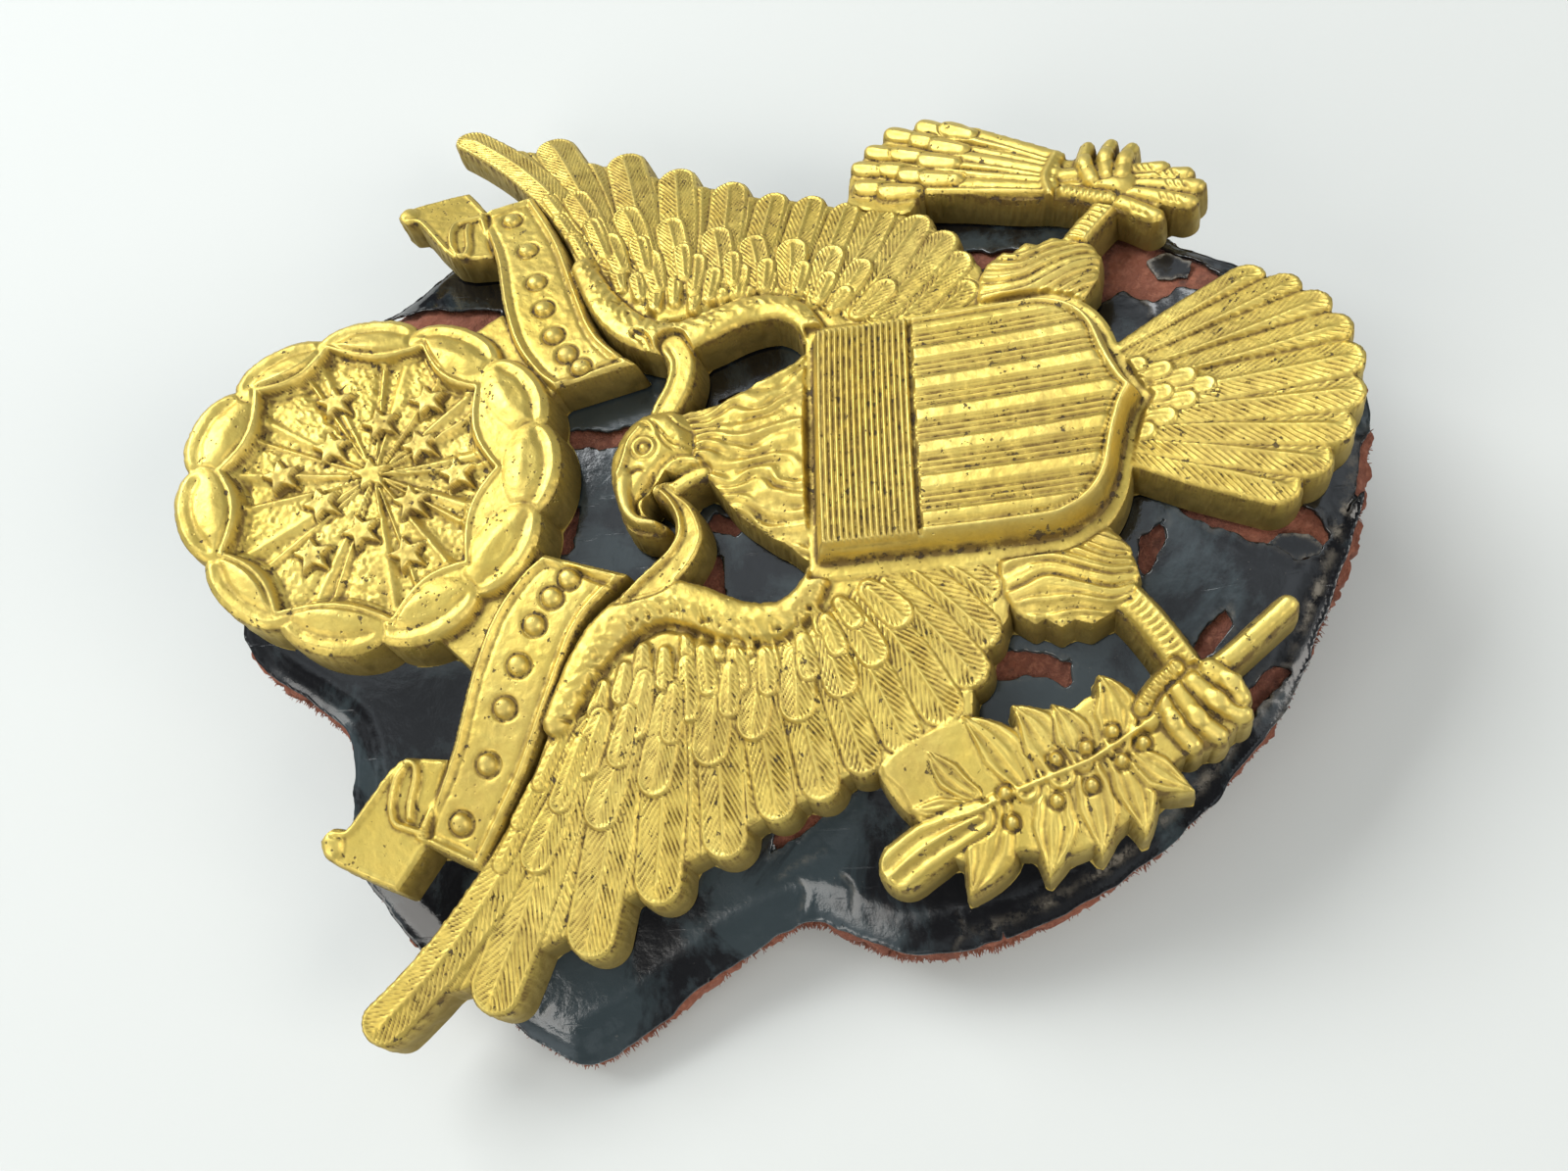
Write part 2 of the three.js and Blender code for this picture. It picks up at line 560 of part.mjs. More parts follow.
const BRANCH_BODY = [
  [-14.5, -9.2], [-16.2, -5.6], [-17.6, -6.4], [-19.2, -7.2], [-21.2, -8], [-21, -11], [-20.7, -14],
  [-19.9, -16.2], [-18.8, -18.2], [-16.9, -19.4], [-16.4, -21], [-15, -22], [-13.2, -21.2],
  [-13, -18.8], [-14, -17.2], [-14.4, -14.8], [-14.9, -12.6], [-15.2, -11], [-15.3, -10],
];
const BERRIES = [[-19.4, -11.4], [-18.6, -13.4], [-16.8, -13.3], [-15.9, -16.2], [-16.4, -17.6]];

function branch() {
  const pieces = [slab(BRANCH_BODY, FACE - 0.5, { fall: 0.2 })];
  pieces.push(slab(strip(along(BRANCH_STEM, 7), 0.8), FACE + 0.15, { fall: 0.2 }));
  pieces.push(slab(strip(BRANCH_STEM.slice(0, 2), 1.1), FACE, { fall: 0.25 }));
  [...OUTER_LEAVES, ...INNER_LEAVES].forEach(([root, tip], i) => {
    pieces.push(blade(root, tip, 1.9, FACE - 0.05 + 0.02 * (i % 3), { point: 1, bow: 0.05, fall: 0 }));
  });
  for (const berry of BERRIES) pieces.push(mound(berry, 0.9, 0.9, 0.6, FACE - 0.05, 0, 6));
  pieces.push(...talon([-14.9, -20.4], -2.45));
  return join(pieces);
}

// the sheaf of arrows, on the viewer's right: shafts side by side, heads at the top, fletching below
const ARROWS_BODY = [
  [16.4, -5], [17.4, -4.8], [19.6, -5.4], [21.4, -7], [22.4, -9], [22.2, -10.8], [20.8, -12], [18.4, -14.8],
  [16.6, -17.2], [15.2, -20], [14, -22], [12.4, -22.8], [11.2, -22.9], [11.8, -21.5], [10.8, -20.9],
  [12, -19],
  [13.8, -16.3], [14.6, -14.4], [15.6, -12], [16.2, -9.9], [17, -9], [15, -8],
];
const ARROW_HEADS = [[19.7, -4.5], [21.4, -5.4], [22.9, -6.6], [23.5, -8.4], [23, -10]];
const ARROW_TAILS = [[11, -22.9], [12, -23.3], [13.1, -23], [14, -22.4], [14.5, -21.6]];

function arrows() {
  const pieces = [slab(ARROWS_BODY, FACE - 0.5, { fall: 0.2 })];
  ARROW_HEADS.forEach((tip, i) => {
    const end = ARROW_TAILS[i];
    const share = (t) => [end[0] + (tip[0] - end[0]) * t, end[1] + (tip[1] - end[1]) * t];
    pieces.push(blade(end, share(0.97), 0.95, FACE + 0.05 + 0.02 * i, { steps: 2, fall: 0 }));
    pieces.push(blade(share(0.8), tip, 1.6, FACE + 0.4 - 0.02 * i, { point: 1, fall: 0 }));
    pieces.push(blade(share(0.2), share(0), 1.5, FACE + 0.3, { steps: 2, fall: 0 }));
  });
  pieces.push(...talon([15.2, -19.2], -1.95));
  return join(pieces);
}

// ---- the tail ----
const TAIL_FEATHERS = 9;
const TAIL_ROOT = [0, -13];
const TAIL_SCALE_STEP = 1.2;
const TAIL_WEB = [[3, -17], [3.1, -19.2], [5, -23.5], [0, -26.5], [-5, -23.5], [-3.1, -19.2], [-3, -17]];

function tail() {
  const pieces = [];
  for (let i = 0; i < TAIL_FEATHERS; i += 1) {
    const share = (2 * i) / (TAIL_FEATHERS - 1) - 1;
    const angle = share * 0.45;
    const reach = 15.8 - 2.1 * share * share;
    const tip = [TAIL_ROOT[0] + reach * Math.sin(angle), TAIL_ROOT[1] - reach * Math.cos(angle)];
    const root = [2.1 * share, -17.4];
    const top = FACE + 0.15 * (1 - Math.abs(share)) + 0.02 * (i % 2);
    pieces.push(blade(root, tip, 2.05, top, { steps: 2, fall: 0.3 }));
  }
  pieces.push(slab(TAIL_WEB, FACE - 0.4));
  // small feathers over the root of the tail
  for (const x of [-TAIL_SCALE_STEP, 0, TAIL_SCALE_STEP]) {
    pieces.push(blade([x, -18.6], [x, -19.9], 1.3, FACE + 0.5, { steps: 2, fall: 0 }));
  }
  return join(pieces);
}

function eaglePlate() {
  const struck = join([
    wing(1),
    wing(-1),
    band(1),
    band(-1),
    glory(),
    head(),
    shield(),
    thigh(1),
    thigh(-1),
    slab(LEFT_LEG, FACE, { fall: 0.35 }),
    slab(RIGHT_LEG, FACE, { fall: 0.35 }),
    branch(),
    arrows(),
    tail(),
  ]);
  const below = new THREE.BoxGeometry(80, 90, 4);
  below.translate(0, 0, -2);
  return bent(struck.subtract(solidOf(below)).simplify(SMALLEST_DETAIL), TO_SIZE);
}

// ---- the leather and its black coat ----
const LEATHER_OUTLINE = [
  [-9.5, 27.5], [-12.2, 24], [-14, 22.4], [-19, 22.4], [-21.4, 21.2], [-24.6, 18.6], [-27.2, 15.4],
  [-29.4, 11.6],
  [-28.4, 8.6], [-26, 5], [-24, 1.6], [-23, -1], [-24, -3.4], [-24.8, -6], [-24.5, -9.6], [-23.2, -13.4],
  [-21, -17.4], [-18, -21.2], [-14.6, -24.2], [-10, -26.8], [-6, -28.5], [-2, -29.4], [2, -29.1], [6, -27],
  [8.6, -25], [10.6, -22.6], [13, -20.6], [15.5, -16.4], [18, -12], [19.4, -8.4], [18, -4.6], [18.6, -1],
  [20.6, 3], [22.6, 8], [24, 12.6], [22.6, 16.6], [19.4, 18.8], [16, 20.6], [13, 22.6], [10.6, 25.8],
  [6, 28], [0, 28.6], [-5, 28.6],
];
const COAT_INSET = 0.975; // the coat stops short of the raw edge
const LIFTED = {
  besideTail: [[-8.6, -30], [-9.6, -25], [-6.4, -20.4], [-4.6, -20.2], [-7.2, -25.6], [-4, -30]],
  lowerRight: [[6.6, -17.6], [7.6, -23.4], [9.4, -27], [14, -23], [12, -20], [9, -17.4]],
  besideStem: [[-17.4, -19.4], [-14.8, -24.4], [-13.4, -23.8], [-16.2, -19.2]],
  belowWing: [[-19.4, 0.4], [-17, -4.6], [-16.2, -4.2], [-18.6, 0.9]],
  underGlory: [[2.4, 12.6], [2.8, 7], [3.8, 7], [3.6, 12.6]],
};

const leatherLoop = toSize(closedAlong(LEATHER_OUTLINE, 52));

// Takes the holes for the post and the two pins out of a layer.
function withFittingHoles(layer) {
  const post = disc(POST_X, POST_Y, POST_FLANGE_RADIUS + FITTING_GAP, 1, -4);
  const pins = [-PIN_X, PIN_X].map((x) => disc(x, PIN_Y, PIN_RADIUS + FITTING_GAP, 1, -4, 12));
  return layer.subtract(join([post, ...pins]));
}

function leatherBacking() {
  const hide = slab(leatherLoop, LEATHER_TOP, { bottom: LEATHER_BOTTOM });
  return bent(withFittingHoles(hide));
}

// The back of the bent leather is pressed flat round the post, and a little deeper under the washer.
function pressedFlat(geometry) {
  const seat = disc(POST_X, POST_Y, SEAT_RADIUS, SEAT_Z, -5);
  const washerSeat = disc(POST_X, POST_Y, WASHER_SEAT_RADIUS, WASHER_SEAT_Z, -5);
  return geometryOf(solidOf(geometry).subtract(seat).subtract(washerSeat));
}

function patentCoat() {
  const outline = leatherLoop.map(([x, y]) => [x * COAT_INSET, y * COAT_INSET]);
  let coat = slab(outline, COAT_TOP, { bottom: COAT_BOTTOM });
  for (const patch of Object.values(LIFTED)) {
    coat = coat.subtract(slab(toSize(patch), 1, { bottom: -1 }));
  }
  return bent(withFittingHoles(coat));
}

const FLAKES = {
  coat_flake_by_tail: [[-8, -26.6], [-8.3, -25.2], [-7.4, -24], [-6.9, -24.6], [-7.2, -25.8]],
  coat_flake_by_arrows: [[8, -22.4], [8.4, -21], [9.6, -20.6], [9.9, -21.6], [9, -22.8]],
};

// ---- fittings on the back ----
function screwPost() {
  const ridges = Math.floor((POST_FLANGE_BOTTOM - 0.6 - POST_TIP) / THREAD_PITCH);
  const profile = [[0, POST_TIP], [POST_RADIUS - 0.4, POST_TIP]];
  for (let i = 0; i < ridges; i += 1) {
    const z = POST_TIP + 0.4 + i * THREAD_PITCH;
    profile.push([POST_RADIUS - THREAD_DEPTH, z]);
    profile.push([POST_RADIUS, z + THREAD_PITCH / 2]);
  }
  const lastTurn = profile[profile.length - 1][1];
  profile.push([POST_RADIUS - THREAD_DEPTH, lastTurn + THREAD_PITCH / 2]);
  profile.push([POST_RADIUS - THREAD_DEPTH, POST_FLANGE_BOTTOM]);
  profile.push([POST_FLANGE_RADIUS - 0.3, POST_FLANGE_BOTTOM]);
  profile.push([POST_FLANGE_RADIUS, POST_FLANGE_BOTTOM + 0.3]);
  profile.push([POST_FLANGE_RADIUS, POST_FLANGE_TOP]);
  profile.push([0, POST_FLANGE_TOP]);
  const geometry = new THREE.LatheGeometry(vectors(profile), 16);
  geometry.rotateX(Math.PI / 2);
  return geometryOf(solidOf(geometry));
}

const profileOf = (rings) => rings.map(([r, z]) => new THREE.Vector2(r, z));

// A ring turned round the post's axis: its section is a closed loop, given from the bore outwards.
function turned(section, segments) {
  const geometry = new THREE.LatheGeometry(profileOf([...section, section[0]]), segments);
  geometry.rotateX(Math.PI / 2);
  return solidOf(geometry);
}

const backWasher = () =>
  geometryOf(turned([
    [WASHER_BORE, WASHER_BOTTOM],
    [WASHER_RADIUS, WASHER_BOTTOM],
    [WASHER_RADIUS, WASHER_TOP],
    [WASHER_BORE, WASHER_TOP],
  ], 24));

function thumbNut() {
  const body = turned([
    [NUT_BORE, NUT_BOTTOM + NUT_RECESS_DEPTH],
    [NUT_RECESS_RADIUS, NUT_BOTTOM + NUT_RECESS_DEPTH],
    [NUT_RECESS_RADIUS, NUT_BOTTOM],
    [NUT_RADIUS - NUT_CHAMFER, NUT_BOTTOM],
    [NUT_RADIUS, NUT_BOTTOM + NUT_CHAMFER],
    [NUT_RADIUS, NUT_KNURL_TOP - NUT_CHAMFER],
    [NUT_RADIUS - NUT_CHAMFER, NUT_KNURL_TOP],
    [NUT_SHOULDER_RADIUS, NUT_KNURL_TOP],
    [NUT_SHOULDER_RADIUS, NUT_TOP],
    [NUT_BORE, NUT_TOP],
  ], NUT_KNURLS);
  const grooves = [];
  const grooveLength = NUT_KNURL_TOP - NUT_BOTTOM + KNURL_OVERRUN;
  const out = NUT_RADIUS + KNURL_STANDOFF;
  for (let i = 0; i < NUT_KNURLS; i += 1) {
    const angle = ((i + 0.5) / NUT_KNURLS) * 2 * Math.PI;
    const cutter = new THREE.CylinderGeometry(KNURL_RADIUS, KNURL_RADIUS, grooveLength, 4);
    cutter.rotateX(Math.PI / 2);
    cutter.rotateZ(angle);
    cutter.translate(out * Math.cos(angle), out * Math.sin(angle), (NUT_BOTTOM + NUT_KNURL_TOP) / 2);
    grooves.push(solidOf(cutter));
  }
  return geometryOf(body.subtract(join(grooves)));
}

function pin(x) {
  const top = bendAt(x, PIN_Y) - PIN_SINK;
  const profile = [
    [0, PIN_BOTTOM],
    [PIN_RADIUS - 0.2, PIN_BOTTOM],
    [PIN_RADIUS, PIN_BOTTOM + 0.3],
    [PIN_RADIUS, top],
    [0, top],
  ];
  const geometry = new THREE.LatheGeometry(profileOf(profile), 16);
  geometry.rotateX(Math.PI / 2);
  return geometryOf(solidOf(geometry));
}

// ---- the assembly ----
const badge = new THREE.Group();

function add(name, geometry, material, x = 0, y = 0) {
  const mesh = new THREE.Mesh(geometry, material);
  mesh.name = name;
  mesh.position.set(x, y, 0);
  badge.add(mesh);
}

add("eagle_plate", eaglePlate(), gilt());
add("leather_backing", pressedFlat(leatherBacking()), leather());
add("patent_coat", patentCoat(), japan());
for (const [name, outline] of Object.entries(FLAKES)) {
  add(name, bent(slab(toSize(outline), COAT_TOP, { bottom: COAT_BOTTOM })), japan());
}
add("screw_post", screwPost(), brass(), POST_X, POST_Y);
add("locating_pin_left", pin(-PIN_X), brass(), -PIN_X, PIN_Y);
add("locating_pin_right", pin(PIN_X), brass(), PIN_X, PIN_Y);
add("back_washer", backWasher(), brass(), POST_X, POST_Y);
add("thumb_nut", thumbNut(), brass(), POST_X, POST_Y);

// the row's origin: the middle of the badge, at the level that the nut stands on
const extent = new THREE.Box3().setFromObject(badge, true);
const centre = extent.getCenter(new THREE.Vector3());
badge.position.set(-centre.x, -centre.y, -extent.min.z);

export default badge;
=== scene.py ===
"""The looks of the cap badge: a struck and gilt eagle on black patent leather, with its back fittings.

The plate, the leather and its coat are drawn flat in millimetres, as height fields over a fine grid,
then enlarged to the badge's true size and bent to the front of the cap, as the CAD solids are.
x runs to the viewer's right, y up to the glory of stars, and z out of the face from the plate's back.
"""

import math

import bpy
import numpy as np
from mathutils import Matrix, Vector


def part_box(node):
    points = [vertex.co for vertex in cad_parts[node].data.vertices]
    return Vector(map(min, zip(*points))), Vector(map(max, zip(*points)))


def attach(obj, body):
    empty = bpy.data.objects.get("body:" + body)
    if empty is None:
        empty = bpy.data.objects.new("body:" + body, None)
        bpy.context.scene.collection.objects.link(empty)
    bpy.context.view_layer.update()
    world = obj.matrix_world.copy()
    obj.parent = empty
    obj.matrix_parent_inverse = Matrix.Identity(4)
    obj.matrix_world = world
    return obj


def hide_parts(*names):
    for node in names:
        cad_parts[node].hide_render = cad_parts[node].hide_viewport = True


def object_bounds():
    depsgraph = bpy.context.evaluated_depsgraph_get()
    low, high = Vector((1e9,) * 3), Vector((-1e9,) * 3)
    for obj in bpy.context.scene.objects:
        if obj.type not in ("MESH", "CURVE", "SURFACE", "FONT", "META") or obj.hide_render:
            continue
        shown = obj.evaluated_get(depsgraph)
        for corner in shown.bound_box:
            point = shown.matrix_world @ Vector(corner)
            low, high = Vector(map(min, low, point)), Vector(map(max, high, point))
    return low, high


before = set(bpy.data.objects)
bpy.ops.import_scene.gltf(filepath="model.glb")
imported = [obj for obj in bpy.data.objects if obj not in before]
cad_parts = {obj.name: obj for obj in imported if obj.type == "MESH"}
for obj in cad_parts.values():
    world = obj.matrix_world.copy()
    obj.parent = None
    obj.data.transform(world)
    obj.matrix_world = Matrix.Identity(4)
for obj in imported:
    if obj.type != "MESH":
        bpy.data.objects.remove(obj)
cad_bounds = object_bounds()

# ---- sizes, in millimetres, as in the CAD ----
TO_SIZE = 60.3 / 59.3
CROWN_BEND = 0.0079
PEAK_BEND = 0.0041
POST_X = 0.0
POST_Y = -0.5
NUT_BOTTOM = -9.3
NUT_KNURL_TOP = -5.4
NUT_TOP = -2.8
NUT_RADIUS = 7.0
NUT_SHOULDER_RADIUS = 4.0
NUT_BORE = 1.7
NUT_KNURLS = 24
WASHER_TOP = -2.0
WASHER_BOTTOM = -2.7
WASHER_RADIUS = 6.0
WASHER_BORE = 1.8
POST_RADIUS = 1.5
POST_TIP = -8.9
POST_FLANGE_RADIUS = 2.6
POST_FLANGE_TOP = -0.25
POST_FLANGE_BOTTOM = -1.1
THREAD_PITCH = 0.8
THREAD_DEPTH = 0.18
PIN_X = 10.5
PIN_Y = 2.5
PIN_RADIUS = 0.6
PIN_BOTTOM = -6.4
WALL_DRAFT = 0.22
LEATHER_TOP = -0.5
LEATHER_BOTTOM = -2.2
COAT_TOP = -0.15
MM = 0.001

post_low, post_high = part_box("screw_post")
nut_low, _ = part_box("thumb_nut")
SHIFT = np.array([
    (post_low.x + post_high.x) / 2 / MM - POST_X,
    (post_low.y + post_high.y) / 2 / MM - POST_Y,
    nut_low.z / MM - NUT_BOTTOM,
])


def bend_at(x, y):
    """Height of the bend at a place given at true size."""
    return -CROWN_BEND * x * x + PEAK_BEND * y * y


def placed(x, y, z, bent=True):
    """Drawn coordinates to metres in the row's frame."""
    x, y = np.asarray(x) * TO_SIZE, np.asarray(y) * TO_SIZE
    z = z + bend_at(x, y) if bent else z
    return (np.stack([x, y, z + 0 * x], -1) + SHIFT) * MM


# ---- noise ----
def lattice(ix, iy, seed):
    n = (ix.astype(np.int64) * 73856093) ^ (iy.astype(np.int64) * 19349663) ^ (seed * 83492791)
    n = (n ^ (n >> 13)) * 1274126177
    return ((n ^ (n >> 16)) & 0xFFFF) / 65535.0


def noise(x, y, size, seed=1):
    """Smooth noise from -1 to 1 with lumps about size across."""
    x, y = np.asarray(x) / size, np.asarray(y) / size
    ix, iy = np.floor(x), np.floor(y)
    u, v = x - ix, y - iy
    u, v = u * u * (3 - 2 * u), v * v * (3 - 2 * v)
    near = lattice(ix, iy, seed) * (1 - u) + lattice(ix + 1, iy, seed) * u
    far = lattice(ix, iy + 1, seed) * (1 - u) + lattice(ix + 1, iy + 1, seed) * u
    return 2 * (near * (1 - v) + far * v) - 1


def layered_noise(x, y, size, seed=1, layers=3):
    total = 0
    for i in range(layers):
        total = total + noise(x, y, size / 2**i, seed + i) / 2**i
    return total / 1.75


def unit(x):
    """x held between 0 and 1."""
    return np.clip(x, 0, 1)


# ---- curves ----
def smooth_line(points, count, closed=False):
    """Points along a smooth curve through the given ones."""
    p = np.array(points, float)
    n = len(p)
    if closed:
        p = np.concatenate([p[-1:], p, p[:2]])
        spans = n
    else:
        p = np.concatenate([2 * p[:1] - p[1:2], p, 2 * p[-1:] - p[-2:-1]])
        spans = n - 1
    t = np.linspace(0, spans, count, endpoint=not closed)
    i = np.minimum(t.astype(int), spans - 1)
    u = (t - i)[:, None]
    a, b, c, d = p[i], p[i + 1], p[i + 2], p[i + 3]
    return 0.5 * (2 * b + (c - a) * u + (2 * a - 5 * b + 4 * c - d) * u**2 + (3 * b - a - 3 * c + d) * u**3)


def bowed(root, tip, bow, count=12):
    root, tip = np.array(root, float), np.array(tip, float)
    along = tip - root
    middle = (root + tip) / 2 + bow * np.array([-along[1], along[0]])
    t = np.linspace(0, 1, count)[:, None]
    return (1 - t) ** 2 * root + 2 * t * (1 - t) * middle + t**2 * tip


def mirrored(points, side):
    return np.array(points, float) * [side, 1]


# ---- the height field ----
class Relief:
    """inside: distance inside the outline, negative outside. top: height of the face.
    fine: the narrow marks on it, kept apart so that smoothing the face leaves them crisp."""

    def __init__(self, x0, x1, y0, y1, step):
        self.step = step
        self.xs = np.arange(x0, x1 + step / 2, step)
        self.ys = np.arange(y0, y1 + step / 2, step)
        self.x, self.y = np.meshgrid(self.xs, self.ys)
        self.inside = np.full(self.x.shape, -9.0)
        self.top = np.zeros(self.x.shape)
        self.fine = np.zeros(self.x.shape)

    def window(self, points, margin):
        low = np.array(points).min(0) - margin
        high = np.array(points).max(0) + margin
        i = np.searchsorted(self.ys, [low[1], high[1]])
        j = np.searchsorted(self.xs, [low[0], high[0]])
        return np.s_[i[0]:i[1], j[0]:j[1]]

    def near_point(self, x, y, reach):
        """The window round a point, and how far each place in it is from the point."""
        where = self.window([[x, y]], reach)
        return where, np.hypot(self.x[where] - x, self.y[where] - y)

    def near_line(self, line, margin):
        """The window round a line, and what line_place gives for each place in it."""
        where = self.window(line, margin)
        return (where, *line_place(line, self.x[where], self.y[where]))

    def paint(self, where, depth, height, joins=True, fine=0.0):
        """Lays height down where depth is above 0. joins: it widens the outline too."""
        inside, top = self.inside[where], self.top[where]
        share = unit(depth / self.step + 0.5)
        if joins:
            fresh = (inside < 0) & (depth > inside) & (depth > -0.5)
            share = np.where(fresh, 1, share)
            self.inside[where] = np.maximum(inside, depth)
        self.top[where] = top + (height - top) * share
        self.fine[where] += (fine - self.fine[where]) * share

    def polygon(self, points, height, joins=True, margin=0.6):
        points = np.array(points, float)
        where = self.window(points, margin)
        x, y = self.x[where], self.y[where]
        depth = polygon_depth(points, x, y)
        laid = height(depth, x, y) if callable(height) else height
        laid, fine = laid if isinstance(laid, tuple) else (laid, 0.0)
        self.paint(where, depth, laid, joins, fine)


def polygon_depth(points, x, y):
    """Distance inside a polygon, negative outside."""
    nearest = np.full(x.shape, 1e9)
    within = np.zeros(x.shape, bool)
    for a, b in zip(points, np.roll(points, -1, 0)):
        e = b - a
        px, py = x - a[0], y - a[1]
        t = unit((px * e[0] + py * e[1]) / (e @ e + 1e-12))
        nearest = np.minimum(nearest, (px - t * e[0]) ** 2 + (py - t * e[1]) ** 2)
        crosses = (a[1] > y) != (b[1] > y)
        slope = e[0] / (e[1] if abs(e[1]) > 1e-12 else 1e-12)
        within ^= crosses & (x < a[0] + slope * (y - a[1]))
    return np.sqrt(nearest) * np.where(within, 1, -1)


def line_place(line, x, y):
    """For each place: how far along the line it is, how far to its left, and how far away."""
    nearest = np.full(x.shape, 1e9)
    along = np.zeros(x.shape)
    left = np.zeros(x.shape)
    done = 0.0
    for a, b in zip(line[:-1], line[1:]):
        e = b - a
        length = math.hypot(*e)
        px, py = x - a[0], y - a[1]
        t = unit((px * e[0] + py * e[1]) / (length**2 + 1e-12))
        apart = (px - t * e[0]) ** 2 + (py - t * e[1]) ** 2
        closer = apart < nearest
        nearest = np.where(closer, apart, nearest)
        along = np.where(closer, done + t * length, along)
        left = np.where(closer, np.sign(e[0] * py - e[1] * px), left)
        done += length
    away = np.sqrt(nearest)
    return along, left * away, away, done


def bump(x, width):
    """A smooth ridge, 1 at 0 and gone at about twice its width."""
    return np.exp(-((x / width) ** 2))


LEAF_SHOULDER = 0.45  # how far along a leaf is widest


def feather(relief, root, tip, width, top, side=1, bow=0.0, pointed=False, rim=0.0, shaft=0.1, barbs=0.06,
            pitch=0.34, crown=0.08, tilt=0.0, slant=1.5, edge_drop=0.1, strands=0.0, joins=True):
    """A feather or leaf: a vane on each side of a shaft. pitch and slant set how close the barbs lie
    and how they lean, crown and tilt how the vane falls across, and strands the long ribs of a leaf."""
    line = bowed(mirrored(root, side), mirrored(tip, side), bow * side)
    half = width / 2
    where, along, left, away, length = relief.near_line(line, half + 0.6)
    x, y = relief.x[where], relief.y[where]
    t = along / length
    if pointed:
        past = unit((t - LEAF_SHOULDER) / (1 - LEAF_SHOULDER))
        edge = half * np.where(t < LEAF_SHOULDER, 0.62 + 0.38 * t / LEAF_SHOULDER, 1 - past**1.4)
        depth = (edge - away) * 0.85
    else:
        # the end is a half circle about a point half a width back from the tip
        back = np.clip(length - half, 0.05, None)
        edge = half * np.clip(0.75 + 0.25 * along / max(0.5 * length, 0.1), 0.75, 1)
        backwards = (line[-2] - line[-1]) / math.hypot(*(line[-2] - line[-1]))
        end = line[-1] + backwards * min(half, length * 0.95)
        depth = np.where(along < back, edge - away, half - np.hypot(x - end[0], y - end[1]))
    across = unit(away / np.maximum(edge, 0.05))
    height = top - crown * across**2 + tilt * np.clip(left * side / half, -1, 1)
    near_shaft = bump(away, 0.12)
    fade = unit((length * (0.98 if pointed else 0.95) - along) / 0.6)
    wobble = 0.1 * noise(x, y, 0.9, 5)
    phase = (along - slant * away + wobble) * (2 * math.pi / pitch)
    vane = (1 - near_shaft) * unit((depth - 0.08) / 0.2)
    uneven = 0.75 + 0.5 * noise(x, y, 0.7, 6)
    fine = shaft * near_shaft * fade + barbs * np.sin(phase) * vane * uneven
    at_tip = 0.2 + 0.8 * unit(t * 2 - 0.9)
    fine = fine + rim * at_tip * bump(depth - 0.17, 0.11) - edge_drop * bump(np.maximum(depth, 0), 0.08)
    ribs = strands * np.cos(across * 2 * math.pi * 1.5 + 0.8 * noise(x, y, 1.0, 8)) * unit(depth / 0.2)
    relief.paint(where, depth, height, joins, fine + ribs)


def ridge(relief, line, width, top, base=None, flat=0.0, joins=True, taper=0.0):
    """A rounded bar along a line. flat is the share of its width that is level."""
    where, along, _, away, length = relief.near_line(np.array(line, float), width / 2 + 0.6)
    half = width / 2 * (1 - taper * along / length)
    base = top - width * 0.45 if base is None else base
    u = unit((away / half - flat) / (1 - flat))
    height = base + (top - base) * np.sqrt(unit(1 - u * u))
    relief.paint(where, half - away, height, joins)


def mound(relief, x0, y0, long, wide, top, base, angle=0.0, joins=True):
    """A low oval dome."""
    where = relief.window([[x0, y0]], max(long, wide) / 2 + 0.6)
    x, y = relief.x[where] - x0, relief.y[where] - y0
    c, s = math.cos(angle), math.sin(angle)
    r = np.hypot((x * c + y * s) / (long / 2), (-x * s + y * c) / (wide / 2))
    depth = (1 - r) * min(long, wide) / 2
    height = base + (top - base) * np.sqrt(unit(1 - r * r))
    relief.paint(where, depth, height, joins)


def groove(relief, line, width, deep):
    """Cuts a soft line into what is already there."""
    where, along, _, away, length = relief.near_line(np.array(line, float), width * 2.5)
    ends = np.clip(along / 0.4, 0.15, 1) * np.clip((length - along) / 0.4, 0.15, 1)
    relief.fine[where] -= deep * bump(away, width) * ends


def moat(relief, x, y, radius, width=0.1, deep=0.12):
    """A soft ring cut round a bead or a berry, so that it stands clear."""
    where, away = relief.near_point(x, y, radius + 0.6)
    relief.fine[where] -= deep * bump(away - radius, width)


# ---- wings: drawn for x above 0 ----
WING_BODY = [
    [26.4, 18.8], [23, 15.9], [20.3, 14.3], [16, 11.9], [12.3, 10.3], [9.8, 8.9], [8.2, 8], [7.2, 7],
    [6.8, 5.8], [6.8, 4.4], [7.2, 3], [8, 1.6], [8.5, 0.2], [8.3, -1], [7.7, -1.9], [6.5, -2.3],
    [5.5, -8], [6, -12.5], [9.9, -12], [11.6, -10.8], [13.5, -9.6], [14.9, -8.0], [15.9, -5.4], [16.8, -3.6],
    [17.8, -1.4], [18.5, 0.6], [19.9, 3.4], [21.7, 7.2], [23.7, 11.1], [25.9, 16.1],
]
